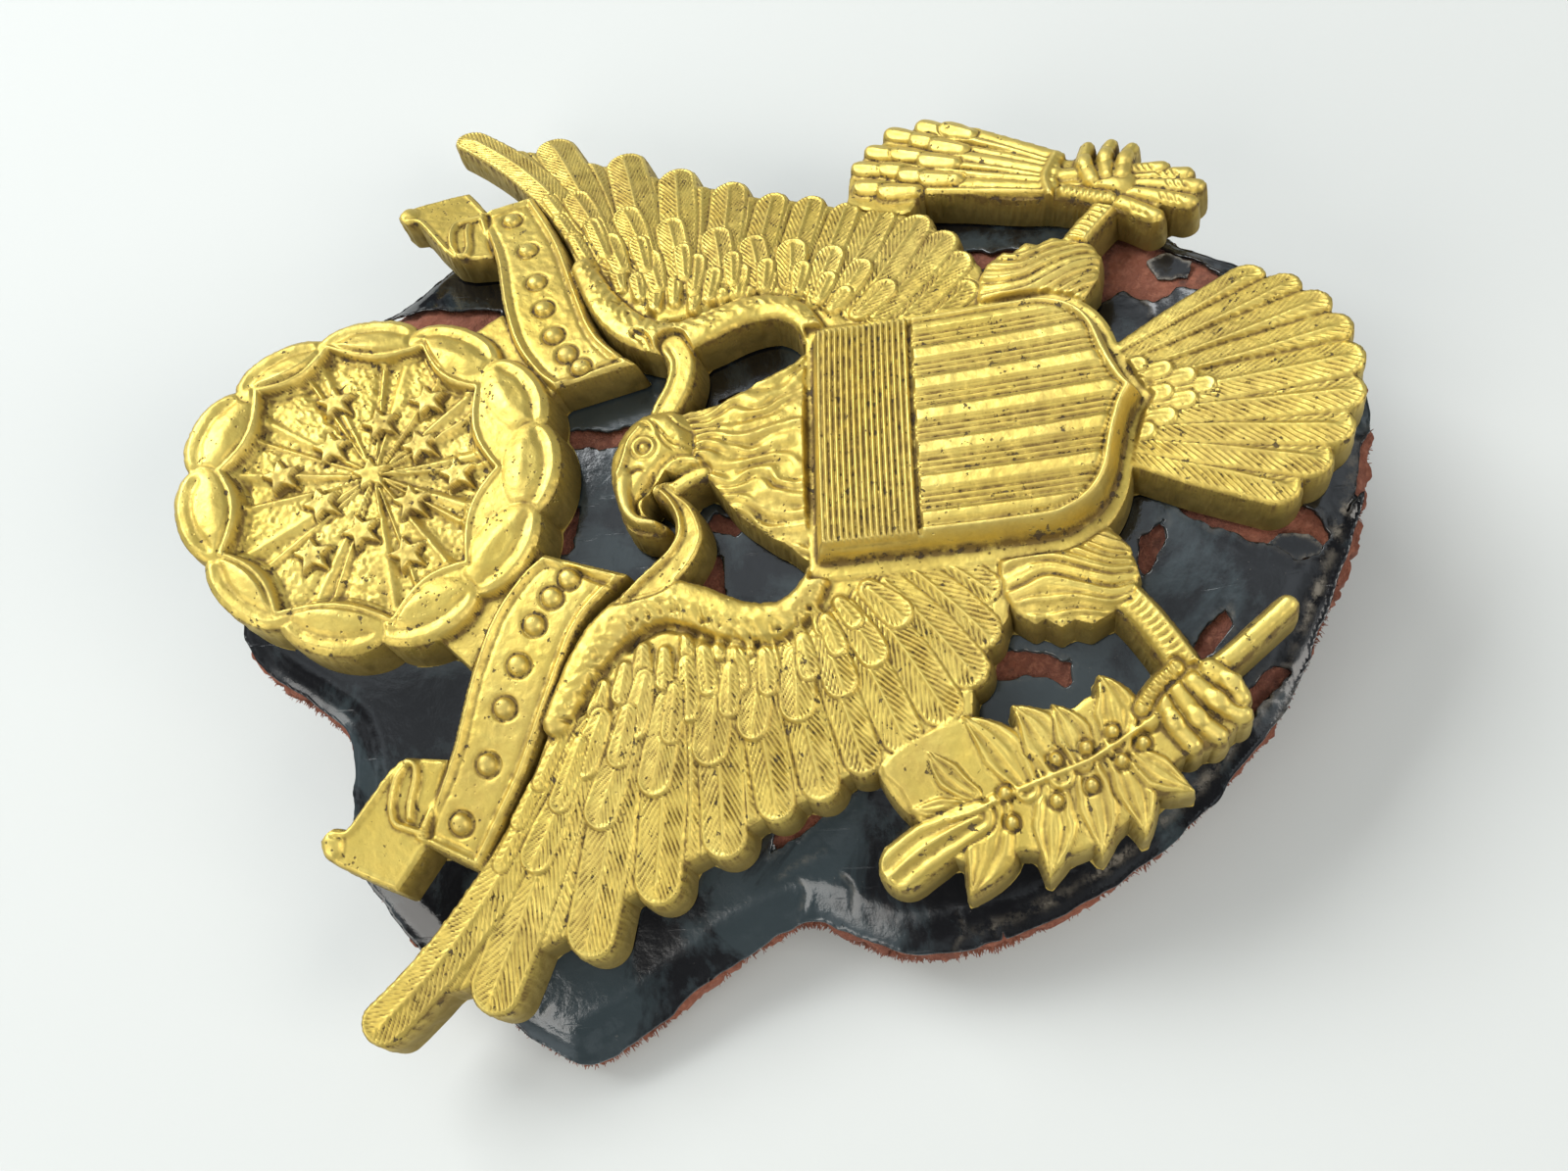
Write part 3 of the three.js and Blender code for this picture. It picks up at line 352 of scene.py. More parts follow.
# the rows of feathers: tip, root, width
FLIGHT = [
    ([28.1, 21.0], [14.6, 10.2], 2.2), ([27.0, 15.0], [13.8, 8.9], 2.6), ([24.6, 9.8], [12.8, 6.8], 2.6),
    ([22.3, 6.1], [12.0, 4.9], 2.5), ([20.3, 2.5], [11.3, 2.7], 2.4), ([18.7, -0.3], [10.8, 1.0], 2.1),
    ([17.9, -2.6], [10.4, -0.9], 2.1), ([16.8, -4.8], [9.9, -2.6], 2.0), ([15.9, -6.9], [9.2, -3.9], 2.2),
    ([14.7, -9.0], [8.4, -5.2], 2.3), ([13.0, -10.5], [7.6, -6.2], 2.2), ([11.2, -11.3], [7.0, -7.4], 2.1),
    ([9.0, -11.6], [6.6, -8.6], 1.8),
]
LEADING = [
    ([20.6, 13.9], [16.6, 11.3], 1.0), ([18.6, 12.9], [14.8, 10.6], 1.0), ([16.8, 11.7], [13.4, 9.9], 1.0),
]
MIDDLE = [
    ([20.6, 12.3], [16.4, 10.0], 1.8), ([18.7, 8.9], [14.4, 7.1], 1.9), ([17.3, 6.0], [12.8, 4.9], 1.9),
    ([16.0, 3.1], [12.0, 2.4], 2.0), ([14.9, 0.9], [11.4, 0.2], 1.8), ([14.2, -1.5], [11.0, -1.6], 2.0),
    ([13.2, -4.0], [10.0, -3.0], 1.9), ([11.8, -5.8], [8.9, -4.2], 1.7), ([9.9, -7.3], [8.0, -5.4], 1.7),
]
COVERTS = [
    ([17.9, 10.8], [14.6, 9.4], 1.2), ([16.3, 9.6], [13.4, 8.3], 1.6), ([15.9, 7.7], [13.2, 6.9], 1.3),
    ([14.6, 6.9], [11.6, 6.0], 1.5), ([14.9, 4.9], [12.2, 4.5], 1.2), ([13.9, 3.9], [11.0, 3.9], 1.3),
    ([13.8, 1.9], [11.4, 1.7], 1.2), ([12.7, 2.8], [10.4, 3.0], 1.2), ([12.7, 1.3], [10.3, 1.4], 1.3),
    ([12.9, -0.2], [10.6, -0.1], 1.2), ([12.0, -0.4], [10.1, -0.2], 1.1), ([12.3, -2.3], [10.2, -2.0], 1.2),
    ([11.2, -2.2], [9.7, -1.8], 1.0), ([11.2, -3.9], [9.3, -3.2], 1.2), ([10.2, -3.2], [8.9, -2.7], 1.0),
    ([9.9, -4.9], [8.5, -3.9], 1.1),
    ([13.6, 8.7], [11.8, 8.2], 1.1), ([12.9, 7.4], [11.0, 7.0], 1.1), ([11.9, 6.2], [10.1, 6.1], 1.1),
    ([12.3, 5.1], [10.3, 5.0], 1.0), ([10.9, 3.8], [9.6, 3.9], 0.9), ([11.0, 2.2], [9.8, 2.3], 0.8),
    ([10.9, 0.7], [9.9, 0.8], 0.8),
]
ARM = [[13.6, 10.6], [12.0, 9.8], [10.3, 8.8], [8.9, 7.6], [8.0, 6.2], [7.7, 4.8], [8.1, 3.3], [8.8, 1.7],
       [9.1, 0.3], [9.0, -1.0], [8.3, -2.1], [7.3, -2.8]]


WING_FLOOR = 2.12
FLIGHT_TOP = 2.28
FLIGHT_FALL = 0.008  # from each flight feather to the next
FIRST_BOW = -0.13
FLIGHT_BOW = -0.035
LEADING_TOP = 2.34
MIDDLE_TOP = 2.36
COVERT_TOP = 2.42
ARM_BASE = 2.3
ARM_RISE = 0.5
FLIGHT_VANE = dict(tilt=-0.07, shaft=0.12, barbs=0.08, rim=0.07, crown=0.09, pitch=0.45, slant=1.9)
BETWEEN_VANE = dict(bow=-0.035, shaft=0.1, barbs=0.07, pitch=0.4, joins=False)
LEADING_VANE = dict(bow=0.03, tilt=-0.04, shaft=0.08, barbs=0.07, rim=0.05, joins=False, pitch=0.4)
MIDDLE_VANE = dict(bow=-0.03, tilt=-0.06, shaft=0.1, barbs=0.075, rim=0.12, joins=False, pitch=0.4,
                   crown=0.05, slant=1.9)
COVERT_VANE = dict(bow=-0.02, shaft=0.08, barbs=0.06, rim=0.11, joins=False, pitch=0.34, crown=0.04)


def strike_wing(relief, side):
    relief.polygon(mirrored(WING_BODY, side), lambda d, x, y: WING_FLOOR + 0.05 * noise(x, y, 1.2, 9))
    for i, (tip, root, width) in reversed(list(enumerate(FLIGHT))):
        if i:
            # a narrow second row shows between the long feathers
            past_tip, past_root, _ = FLIGHT[i - 1]
            start = (np.array(past_root) + root) / 2
            reach = (np.array(past_tip) + tip) / 2 - start
            feather(relief, start, start + 0.9 * reach, 1.1, 2.2, side, **BETWEEN_VANE)
        bow = FLIGHT_BOW if i else FIRST_BOW
        feather(relief, root, tip, width, FLIGHT_TOP - FLIGHT_FALL * i, side, bow=bow, **FLIGHT_VANE)
    for tip, root, width in LEADING:
        feather(relief, root, tip, width, LEADING_TOP, side, **LEADING_VANE)
    for tip, root, width in reversed(MIDDLE):
        feather(relief, root, tip, width, MIDDLE_TOP, side, **MIDDLE_VANE)
    for tip, root, width in reversed(COVERTS):
        feather(relief, root, tip, width, COVERT_TOP, side, **COVERT_VANE)
    strike_arm(relief, side)


def strike_arm(relief, side):
    """The bare arm of the wing, with a pitted groove and short strokes on its inner side."""
    arm = smooth_line(mirrored(ARM, side), 40)
    where, along, left, away, length = relief.near_line(arm, 1.9)
    x, y = relief.x[where], relief.y[where]
    swell = 0.66 + 0.42 * np.sin(unit(along / length) * math.pi)
    dome = np.sqrt(unit(1 - (away / swell) ** 2))
    inner_side = left * side > 0
    pitted = bump(away - swell - 0.22, 0.24) * inner_side * unit(1.2 - np.abs(2 * along / length - 1))
    relief.top[where] -= (0.3 + 0.2 * noise(x, y, 0.45, 22)) * pitted
    hollows = unit(noise(x, y, 0.3, 21) - 0.25) * unit(away / swell * inner_side * 1.6)
    strokes = 0.03 * np.sin(along * 9 + left * 7 + 2.5 * noise(x, y, 0.8, 26)) * inner_side
    rough = 0.045 * noise(x, y, 0.8, 23) + 0.03 * noise(x, y, 0.3, 24) + strokes
    relief.paint(where, swell - away, ARM_BASE + ARM_RISE * dome, True, rough - 0.35 * hollows)


# ---- the ribbon ----
BAND_UPPER = [[18.9, 17.9], [15, 16], [11, 14.9], [8, 13.8], [5.9, 12.4], [4.9, 11.3]]
BAND_LOWER = [[6.2, 6.9], [7.4, 8.3], [9, 9.5], [12.2, 10.8], [16, 12.3], [20.4, 14.7]]
BAND_FLAG = [[19.2, 17.3], [21.3, 18.9], [20.7, 20.4], [20.1, 21.7], [19.7, 22.4], [18.9, 22.6], [18.3, 22.0],
             [18.4, 21.3], [16.8, 20.1], [15.2, 18.7], [15.0, 18.0], [15.1, 16.2], [18.5, 16.2]]
FLAG_CURL = [[18.7, 17.3], [18.4, 18.2], [18.1, 18.85], [17.2, 19.0], [16.1, 18.75], [15.3, 18.35],
             [15.3, 17.8], [16.0, 17.75], [17.2, 18.05], [17.9, 18.1]]
FLAG_EDGE = [[18.6, 21.9], [18.5, 21.2], [17.2, 20.1], [16.0, 19.2], [15.3, 18.5]]
CLOUD_WEB = [[10.6, 15.0], [8.4, 17.4], [3.6, 12.6], [5, 11.2], [8, 13.6]]
BEADS_ON_BAND = 7


BEAD = 1.0
BEAD_TOP = 2.66
CLOUD_WEB_TOP = 2.0
FLAG_TOP = 2.14
BAND_TOP = 2.3
BAND_SPAN = 0.92  # the beads' share of the band's length


def strike_band(relief, side):
    def waving(d, x, y):
        fine = 0.05 * bump(d - 0.2, 0.12) + 0.015 * noise(x, y, 0.5, 4)
        return FLAG_TOP + 0.04 * noise(x, y, 2.2, 10), fine

    def band(d, x, y):
        rim = 0.2 * bump(d - 0.24, 0.15) - 0.06 * bump(d - 0.6, 0.12)
        return BAND_TOP + 0.02 * noise(x, y, 2.2, 3), rim + 0.02 * noise(x, y, 0.35, 2)

    def curve(points, count):
        return smooth_line(mirrored(points, side), count)

    relief.polygon(mirrored(CLOUD_WEB, side), CLOUD_WEB_TOP)
    relief.polygon(mirrored(BAND_FLAG, side), waving)
    mound(relief, side * 19.1, 22.0, 1.5, 1.2, 2.45, 2.1, joins=False)
    relief.polygon(np.concatenate([curve(BAND_UPPER, 26), curve(BAND_LOWER, 26)]), band)
    ridge(relief, curve(FLAG_CURL, 34), 0.4, 2.5, 2.15, joins=False)
    ridge(relief, curve(FLAG_EDGE, 20), 0.36, 2.34, 2.1, joins=False)
    groove(relief, mirrored([[19.2, 17.2], [17.4, 16.9], [15.3, 16.2]], side), 0.16, 0.25)
    # plain beads where a real badge carries lettering
    middle = (curve(BAND_UPPER, 60) + curve(BAND_LOWER[::-1], 60)) / 2
    for i in range(BEADS_ON_BAND):
        x, y = middle[int((i + 0.6) / BEADS_ON_BAND * BAND_SPAN * 59)]
        moat(relief, x, y, 0.62)
        mound(relief, x, y, BEAD, BEAD, BEAD_TOP, 2.34, joins=False)
    groove(relief, mirrored([[5.3, 10.6], [6.4, 8.6], [6.9, 7.3]], side), 0.14, 0.18)


# ---- the glory ----
GLORY = np.array([0.0, 20.6])
CLOUD_RADIUS = 9.2
PUFFS = [16, 49, 81, 114, 148, 180, 212, 246, 279, 311, 344]  # degrees from the top
FIELD_CUSPS = [[0.1, 28.1], [4.9, 27.1], [7.8, 24], [7.8, 18.9], [4.9, 15.7], [0.05, 14.2],
               [-5, 15.4], [-7.9, 18.9], [-7.5, 24.6], [-4.4, 27.5]]
STARS = [[0, 25.5], [-4.5, 23.4], [-1.6, 23.2], [1.7, 23.1], [4.6, 23.3], [-3.2, 21.0], [0.1, 20.8],
         [3.2, 20.7], [-4.5, 18.5], [-1.6, 18.5], [1.8, 18.4], [4.6, 18.3], [0, 16.2]]
STAR_RADIUS = 1.1
RAYS = 22
PUFF_RING = 8.5
PUFF_HALF_LENGTH = 2.8
PUFF_HALF_DEPTH = 1.6


def star_outline(x, y, radius, turn):
    angle = np.arange(10) * math.pi / 5 + turn
    reach = np.where(np.arange(10) % 2, radius * 0.45, radius)
    return np.stack([x + reach * np.sin(angle), y + reach * np.cos(angle)], 1)


def field_outline(grow=0.0):
    points = []
    for a, b in zip(FIELD_CUSPS, FIELD_CUSPS[1:] + FIELD_CUSPS[:1]):
        a, b = np.array(a), np.array(b)
        for t in np.linspace(0, 1, 8, endpoint=False):
            p = a + (b - a) * t
            p = p + (GLORY - p) / math.hypot(*(GLORY - p)) * 0.75 * 4 * t * (1 - t)
            points.append(p + (p - GLORY) / math.hypot(*(p - GLORY)) * grow)
    return np.array(points)


RING_TOP = 2.56
PUFF_TOP = 2.84
FIELD_FLOOR = 1.85
STAR_FLOOR = 2.02
STAR_RISE = 0.3


def strike_puff(relief, degrees):
    """One puff of the cloud ring: an oval with a hollow and a lip on its outer side."""
    a = math.radians(degrees)
    x, y = GLORY + PUFF_RING * np.array([math.sin(a), math.cos(a)])
    where = relief.window([[x, y]], 3.4)
    u = (relief.x[where] - x) * math.cos(a) - (relief.y[where] - y) * math.sin(a)
    v = (relief.x[where] - x) * math.sin(a) + (relief.y[where] - y) * math.cos(a)
    round_ = np.hypot(u / PUFF_HALF_LENGTH, v / PUFF_HALF_DEPTH)
    outwards = unit(v / 0.3 + 0.3)
    hollow = 0.17 * bump(np.hypot(u / 2.0, (v + 0.15) / 0.85) - 1, 0.24) * outwards
    inner = 0.16 * bump(np.hypot(u / 1.7, (v + 0.45) / 0.52), 0.85)
    lip = 0.05 * bump(np.hypot(u / 2.35, v / 1.25) - 1, 0.08) * outwards
    height = PUFF_TOP - 0.3 * round_**4 - hollow + inner
    rough = 0.03 * noise(relief.x[where], relief.y[where], 0.6, 25)
    relief.paint(where, (1 - round_) * PUFF_HALF_DEPTH, height, True, lip + rough)


def glory_field(d, x, y):
    """The pebbled field, with rays that spread from a low boss."""
    angle = np.arctan2(x - GLORY[0], y - GLORY[1])
    radius = np.hypot(x - GLORY[0], y - GLORY[1])
    ray = np.zeros(x.shape)
    for k in range(RAYS):
        at = 2 * math.pi * k / RAYS + 0.09 * math.sin(k * 2.7)
        off = (angle - at + math.pi) % (2 * math.pi) - math.pi
        wide = (0.13 if k % 2 else 0.26) * np.clip(radius / 4, 0.35, 1.2)
        ray = np.maximum(ray, bump(off * radius, wide))
    wedge = 0.09 * np.tanh(np.sin(angle * RAYS / 2) * 4)
    pebble = (0.03 * noise(x, y, 0.4, 31) + 0.045 * noise(x, y, 0.17, 7)) * (1 - ray)
    boss = 0.22 * unit(1 - radius / 3.0)
    return FIELD_FLOOR + wedge * unit(radius / 4) + boss, 0.24 * ray + pebble + 0.14 * bump(d - 0.14, 0.1)


def strike_glory(relief):
    angles = np.linspace(0, 2 * math.pi, 60, endpoint=False)
    relief.polygon(GLORY + CLOUD_RADIUS * np.stack([np.sin(angles), np.cos(angles)], 1), RING_TOP)
    for degrees in PUFFS:
        strike_puff(relief, degrees)
    relief.polygon(field_outline(0.62), joins=False, height=lambda d, x, y: (
        2.55, 0.16 * bump(d - 0.2, 0.14) - 0.2 * bump(d - 0.5, 0.1)))
    relief.polygon(field_outline(0.05), glory_field, joins=False)
    for i, (x, y) in enumerate(STARS):
        star = star_outline(x, y, STAR_RADIUS, 0.12 * math.sin(i * 2.3))
        where = relief.window([[x, y]], 1.6)
        depth = polygon_depth(star, relief.x[where], relief.y[where])
        relief.fine[where] -= 0.1 * bump(np.clip(-depth, 0, 9), 0.16) * (depth < 0)
        relief.polygon(star, joins=False, height=lambda d, sx, sy: (
            STAR_FLOOR, STAR_RISE + 0.03 * noise(sx, sy, 0.3, 32)))


# ---- head, neck and the ribbon through the beak ----
NECK = [[2.6, 6], [2.6, 4.4], [2.8, 2.8], [3.4, 1.4], [4.2, 0], [4.9, -1.4], [5.2, -3.2],
        [-5.6, -3.2], [-5.1, -1.2], [-4.3, 0], [-3.2, 1.3], [-1.8, 2.3], [-0.9, 3.2], [-0.7, 5.0]]
HEAD = [[-0.9, 4.9], [-1.5, 5.3], [-2.2, 5.9], [-2.9, 6.05], [-3.4, 5.7], [-3.6, 5.1], [-3.9, 4.85],
        [-4.2, 5.3], [-4.2, 6.1], [-3.8, 6.8], [-3.1, 7.2], [-2.2, 7.5], [-1.2, 7.75], [0.0, 7.8],
        [1.0, 7.5], [1.9, 7.0],
        [2.6, 6.2], [2.75, 5.2], [2.6, 4.2], [1.6, 3.5], [0.3, 3.3], [-0.5, 3.7], [-0.4, 4.4]]
BEAK_RIDGE = [[-1.0, 7.0], [-2.0, 7.0], [-3.0, 6.75], [-3.6, 6.2], [-3.85, 5.3]]
BEAK_ROLL = [[-3.2, 5.95], [-2.6, 6.1], [-2.1, 5.6], [-1.4, 5.2], [-0.8, 5.0]]
LEFT_STRAP = [[-7.8, 7.6], [-6.6, 6.45], [-5.6, 5.3], [-4.9, 4.7], [-4.2, 4.4], [-3.4, 4.45], [-2.7, 4.8],
              [-2.0, 5.5], [-1.5, 5.0], [-2.0, 4.3], [-2.8, 3.5], [-4.1, 3.0], [-5.2, 3.2], [-6.5, 4.1],
               [-7.4, 5.2]]
STRAP_RIM = [[-7.6, 7.1], [-6.6, 6.15], [-5.6, 5.0], [-4.9, 4.4], [-4.2, 4.1], [-3.3, 4.2], [-2.5, 4.6],
             [-1.9, 5.1]]
STRAP_DROP = [[-2.0, 4.9], [-1.6, 4.3], [-1.2, 3.6], [-0.95, 2.9]]
JAW = [[-1.3, 5.0], [-0.6, 4.6], [-0.3, 4.0], [-0.4, 3.2]]
RIGHT_STRAP = [[1.6, 5.4], [3, 5.15], [4.6, 4.5], [6.1, 4.35], [7.3, 4.9]]
RIGHT_KNOT = [[5.3, 7.3], [5.6, 6.4], [6.6, 6.1], [7.6, 6.4], [8.0, 6.9]]
BROW = [[-1.1, 7.25], [-0.2, 6.95], [0.8, 6.7], [1.6, 6.15]]
EYE_AT = (0.45, 5.95)


LIPS = [[-3.4, 6.15], [-2.8, 6.4], [-2.1, 6.1], [-1.5, 5.6], [-0.9, 5.4]]
NOSTRIL = [[-1.1, 6.8], [-0.75, 6.3], [-0.95, 5.75]]
CHEEK_LINES = [
    [[2.3, 5.8], [1.4, 5.1], [0.7, 4.5], [0.4, 3.7]], [[2.5, 4.9], [1.8, 4.3], [1.3, 3.4]],
    [[1.5, 5.3], [0.7, 4.9], [0.1, 4.2]], [[2.2, 6.5], [1.9, 5.9], [1.4, 5.5]],
]
NECK_TOP = 2.2
STRAP_TOP = 2.32
SKULL_BASE = 2.35
SKULL_RISE = 0.75


def neck_hair(d, x, y):
    """Wavy strands that fan out down the neck, gathered in locks."""
    drop = 6.2 - y
    fan = x / (1.7 + 0.42 * drop)
    lean = 0.5 * np.sin(y * 1.5 + x * 0.8) + 0.8 * noise(x, y * 0.7, 0.9, 12)
    strands = np.sin(fan * 34 + lean * 4) * (0.75 + 0.5 * noise(x, y, 0.7, 13))
    locks = np.sin(fan * 8 + 1.6 * noise(x, y * 0.6, 2.2, 14))
    round_off = 0.55 * unit(1 - (x / (2.4 + 0.34 * drop)) ** 2)
    return NECK_TOP + round_off + 0.09 * locks, 0.11 * strands + 0.03 * noise(x, y, 0.4, 15)


def skull(d, x, y):
    dome = unit(1 - np.hypot((x - 0.5) / 3.6, (y - 5.6) / 3.0) ** 2)
    swell = SKULL_RISE * np.sqrt(dome) * np.clip(d / 0.7, 0.1, 1) ** 0.5
    return SKULL_BASE + swell, 0.045 * noise(x, y, 0.4, 41)


def strike_head(relief):
    strap = smooth_line(RIGHT_STRAP, 24)
    ridge(relief, strap, 1.6, 2.3, 1.8, flat=0.7)
    groove(relief, strap + [0, 0.3], 0.1, 0.1)
    ridge(relief, smooth_line(RIGHT_KNOT, 24), 0.5, 2.55, 2.2, joins=False)
    relief.polygon(smooth_line(NECK, 70, closed=True), neck_hair)
    ridge(relief, smooth_line(STRAP_DROP, 16), 0.85, 2.5, 2.1, flat=0.4)
    relief.polygon(smooth_line(LEFT_STRAP, 80, closed=True),
                   lambda d, x, y: (STRAP_TOP, 0.1 * bump(d - 0.16, 0.1) + 0.03 * noise(x, y, 0.5, 16)))
    ridge(relief, smooth_line(STRAP_RIM, 30), 0.36, 2.66, 2.3, joins=False)
    relief.polygon(smooth_line(HEAD, 90, closed=True), skull)
    ridge(relief, smooth_line(BEAK_RIDGE, 24), 0.95, 3.2, 2.8, joins=False, taper=0.55)
    groove(relief, smooth_line(LIPS, 20), 0.1, 0.24)
    ridge(relief, smooth_line(BEAK_ROLL, 20), 0.42, 2.85, 2.5, joins=False)
    ridge(relief, smooth_line(JAW, 16), 0.62, 2.9, 2.5, joins=False)
    ridge(relief, smooth_line(BROW, 20), 0.34, 3.3, 3.05, joins=False)
    groove(relief, smooth_line(NOSTRIL, 12), 0.1, 0.2)
    # the eye: a bead in a ring
    where, away = relief.near_point(*EYE_AT, 1.2)
    ring = -0.14 * bump(away - 0.3, 0.1) + 0.06 * bump(away, 0.16) + 0.06 * bump(away - 0.52, 0.1)
    relief.fine[where] += ring - 0.07 * bump(away - 0.72, 0.08)
    for line in CHEEK_LINES:
        groove(relief, smooth_line(line, 14), 0.1, 0.14)


# ---- the shield ----
SHIELD_TOP = 4.05
SHIELD_HALF = 6.5
CHIEF_TOP = -3.2
CHIEF_LINES = 16
CHIEF_PITCH = 0.3
CHIEF_FOOT = CHIEF_TOP - CHIEF_LINES * CHIEF_PITCH
CHIEF_HALF = 6.1
STRIPES = 13
STRIPE_WIDTH = 0.9
STRIPE_LINES = 3
SHIELD_SIDE = [[6.5, -2.9], [6.5, -8.2], [6.5, -13.6], [6.3, -15.2], [5.5, -16.6], [4.2, -17.5], [2.4, -18.0],
               [1.0, -18.5], [0.25, -18.95]]


SHIELD_FOOT = 2.2
FLANK = 0.6  # the width of the rounded flank


def shield_face(d, x, y):
    """The rounded field, its chief of close cross lines, and the raised and the lined stripes below."""
    crown = 0.28 * (1 - (x / SHIELD_HALF) ** 2)
    flank = 1 - (1 - unit(d / FLANK)) ** 2
    height = SHIELD_FOOT + (SHIELD_TOP - 0.3 - SHIELD_FOOT) * flank + crown * unit(d / 1.2)
    on_chief_rows = (y > CHIEF_FOOT) & (y < CHIEF_TOP)
    chief = 0.08 + 0.105 * np.sin((y - CHIEF_TOP) * 2 * math.pi / CHIEF_PITCH)
    place = x / STRIPE_WIDTH + STRIPES / 2
    number = np.floor(place)
    within = place - number
    raised = 0.13 - 0.22 * unit((np.abs(within - 0.5) - 0.28) / 0.22) ** 2
    lined = 0.075 * np.cos(within * 2 * math.pi * STRIPE_LINES) - 0.05
    stripe = np.where(number % 2 == 0, raised, lined)
    in_stripes = (y < CHIEF_FOOT - 0.35) & (np.abs(x) < STRIPE_WIDTH * STRIPES / 2) & (d > 0.85)
    fine = np.where(on_chief_rows & (np.abs(x) < CHIEF_HALF), chief, 0) + np.where(in_stripes, stripe, 0)
    rim = 0.16 * bump(d - 0.62, 0.14) - 0.12 * bump(d - 0.88, 0.09)
    fine = fine + np.where(y < CHIEF_FOOT - 0.1, rim, 0)
    fine = fine - 0.22 * bump(y - CHIEF_FOOT + 0.14, 0.12) * (np.abs(x) < CHIEF_HALF)
    fine = fine - 0.12 * bump(np.abs(x) - CHIEF_HALF - 0.06, 0.08) * on_chief_rows
    return height + 0.008 * noise(x, y, 1.4, 51), fine + 0.012 * noise(x, y, 0.4, 52)


def strike_shield(relief):
    right = smooth_line(SHIELD_SIDE, 44)
    outline = np.concatenate([right, [[0, -19.1]], mirrored(right[::-1], -1)])
    # a plain step of metal shows all round the shield's foot
    foot = outline * [1.12, 1.0]
    foot[:, 1] = -10 + (foot[:, 1] + 10) * 1.06
    relief.polygon(foot, 2.25)
    relief.polygon(outline, shield_face)


# ---- thighs and legs ----
THIGH = [[6.2, -11.9], [7.6, -11.7], [9.0, -11.9], [9.9, -12.4], [10.5, -13.2], [10.3, -13.7], [10.8, -14.4],
         [10.5, -15.0], [10.8, -15.8], [10.4, -16.6], [9.9, -17.6], [8.8, -18.1], [7.4, -17.8], [6.3, -17.0]]
LEFT_LEG = [[-9.2, -17.0], [-10.4, -18.0], [-11.8, -18.9], [-13.4, -19.8]]
RIGHT_LEG = [[9.4, -16.3], [10.9, -17.4], [12.0, -18.4], [13.2, -19.4]]
LEFT_HEEL = [[-13.2, -19.2], [-13.9, -18.3], [-14.8, -17.6]]
RIGHT_HEEL = [[12.8, -18.9], [13.5, -17.7], [14.1, -16.7]]
LEFT_TOES = [
    [[-14.5, -18.5], [-15.6, -18.9], [-16.6, -19.6]], [[-14.2, -19.2], [-15.4, -19.8], [-16.3, -20.7]],
    [[-13.9, -19.9], [-14.9, -20.8], [-15.5, -21.8]], [[-13.4, -20.6], [-14.1, -21.4], [-14.8, -21.8]],
]
RIGHT_TOES = [
    [[14.4, -18.2], [15.8, -17.9], [17.0, -18.2]], [[14.5, -19.0], [15.8, -19.0], [16.8, -19.4]],
    [[14.3, -19.7], [15.4, -20.0], [16.1, -20.4]],
]
LEG_SCALE = 0.36


THIGH_TOP = 2.3
LEG_TOP = 2.6
TOE_TOP = 2.86
KNUCKLE_TOP = 3.02


def strike_thigh(relief, side):
    """Long hair that sweeps down the thigh and gathers above the leg."""
    def hairs(d, x, y):
        gather = 1.0 + 0.19 * (y + 18.3)
        fan = (x * side - 8.9 - 0.35 * np.sin((y + 12) * 0.9)) / gather + 0.1 * noise(x, y, 1.4, 61)
        strands = np.sin(fan * 17) + 0.5 * np.sin(fan * 31 + 1)
        locks = np.sin(fan * 6.5 + 0.6 * noise(x, y, 1.8, 62))
        height = THIGH_TOP + 0.38 * np.sqrt(unit(d / 1.6)) + 0.07 * locks
        return height, 0.075 * strands * unit(d / 0.3)

    relief.polygon(mirrored(THIGH, side), hairs)


def strike_scales(relief, line, width):
    """Rows of small soft scales along a leg or a toe."""
    where, along, _, away, length = relief.near_line(line, width)
    ragged = 0.6 * noise(relief.x[where], relief.y[where], 0.6, 65)
    rows = np.sin(along * 2 * math.pi / LEG_SCALE + 2.2 * away / width + ragged)
    relief.fine[where] += 0.06 * rows * unit((width / 2 - away) / 0.2)


def strike_leg(relief, leg, outer):
    """A scaled leg with a smooth rail along its outer side."""
    line = smooth_line(leg, 24)
    ridge(relief, line, 1.5, LEG_TOP, 2.0, flat=0.2)
    strike_scales(relief, line, 1.1)
    where, _, left, away, _ = relief.near_line(line, 0.9)
    rail = bump(left * outer + 0.45, 0.17) * (away < 0.75)
    relief.fine[where] = relief.fine[where] * (1 - rail) + 0.12 * rail


def strike_heel(relief, heel):
    back = smooth_line(heel, 16)
    ridge(relief, back, 0.95, 2.62, 2.0, flat=0.1)
    strike_scales(relief, back, 0.8)


def strike_toes(relief, toes):
    """Toes that grip over whatever lies beneath, each with one low knuckle."""
    for i, toe in enumerate(toes):
        line = smooth_line(toe, 14)
        ridge(relief, line, 1.02, TOE_TOP - 0.03 * i, 2.3, taper=0.15)
        x, y = line[6 + i % 2]
        lean = math.atan2(*(line[-1] - line[0])[::-1])
        mound(relief, x, y, 1.15, 0.9, KNUCKLE_TOP - 0.03 * i, 2.72, angle=lean, joins=False)


# ---- the olive branch, drawn at the viewer's left ----
BRANCH_BODY = [[-14.5, -9.2], [-16.2, -5.6], [-17.6, -6.4], [-19.2, -7.2], [-20.7, -8.7], [-20.9, -10.4],
               [-20.5, -11.9], [-20.9, -13.3], [-20.6, -14.7], [-20.1, -15.8], [-19.4, -16.7], [-18.7, -17.8],
               [-17.4, -18.6], [-16.9, -19.4], [-16.4, -21], [-15, -22], [-13.4, -21.0], [-13.1, -19.4],
               [-14.2, -17.4], [-14.4, -16.7], [-14.0, -15.4], [-14.5, -14.5], [-14.4, -13.1], [-15.0, -12.0],
               [-15.5, -10.9]]
WEB = [[-12.4, -9.6], [-13.0, -5.0], [-16.4, -5.2], [-18.9, -7.0], [-18.9, -9.4], [-17.0, -10.6],
       [-14.6, -10.0]]
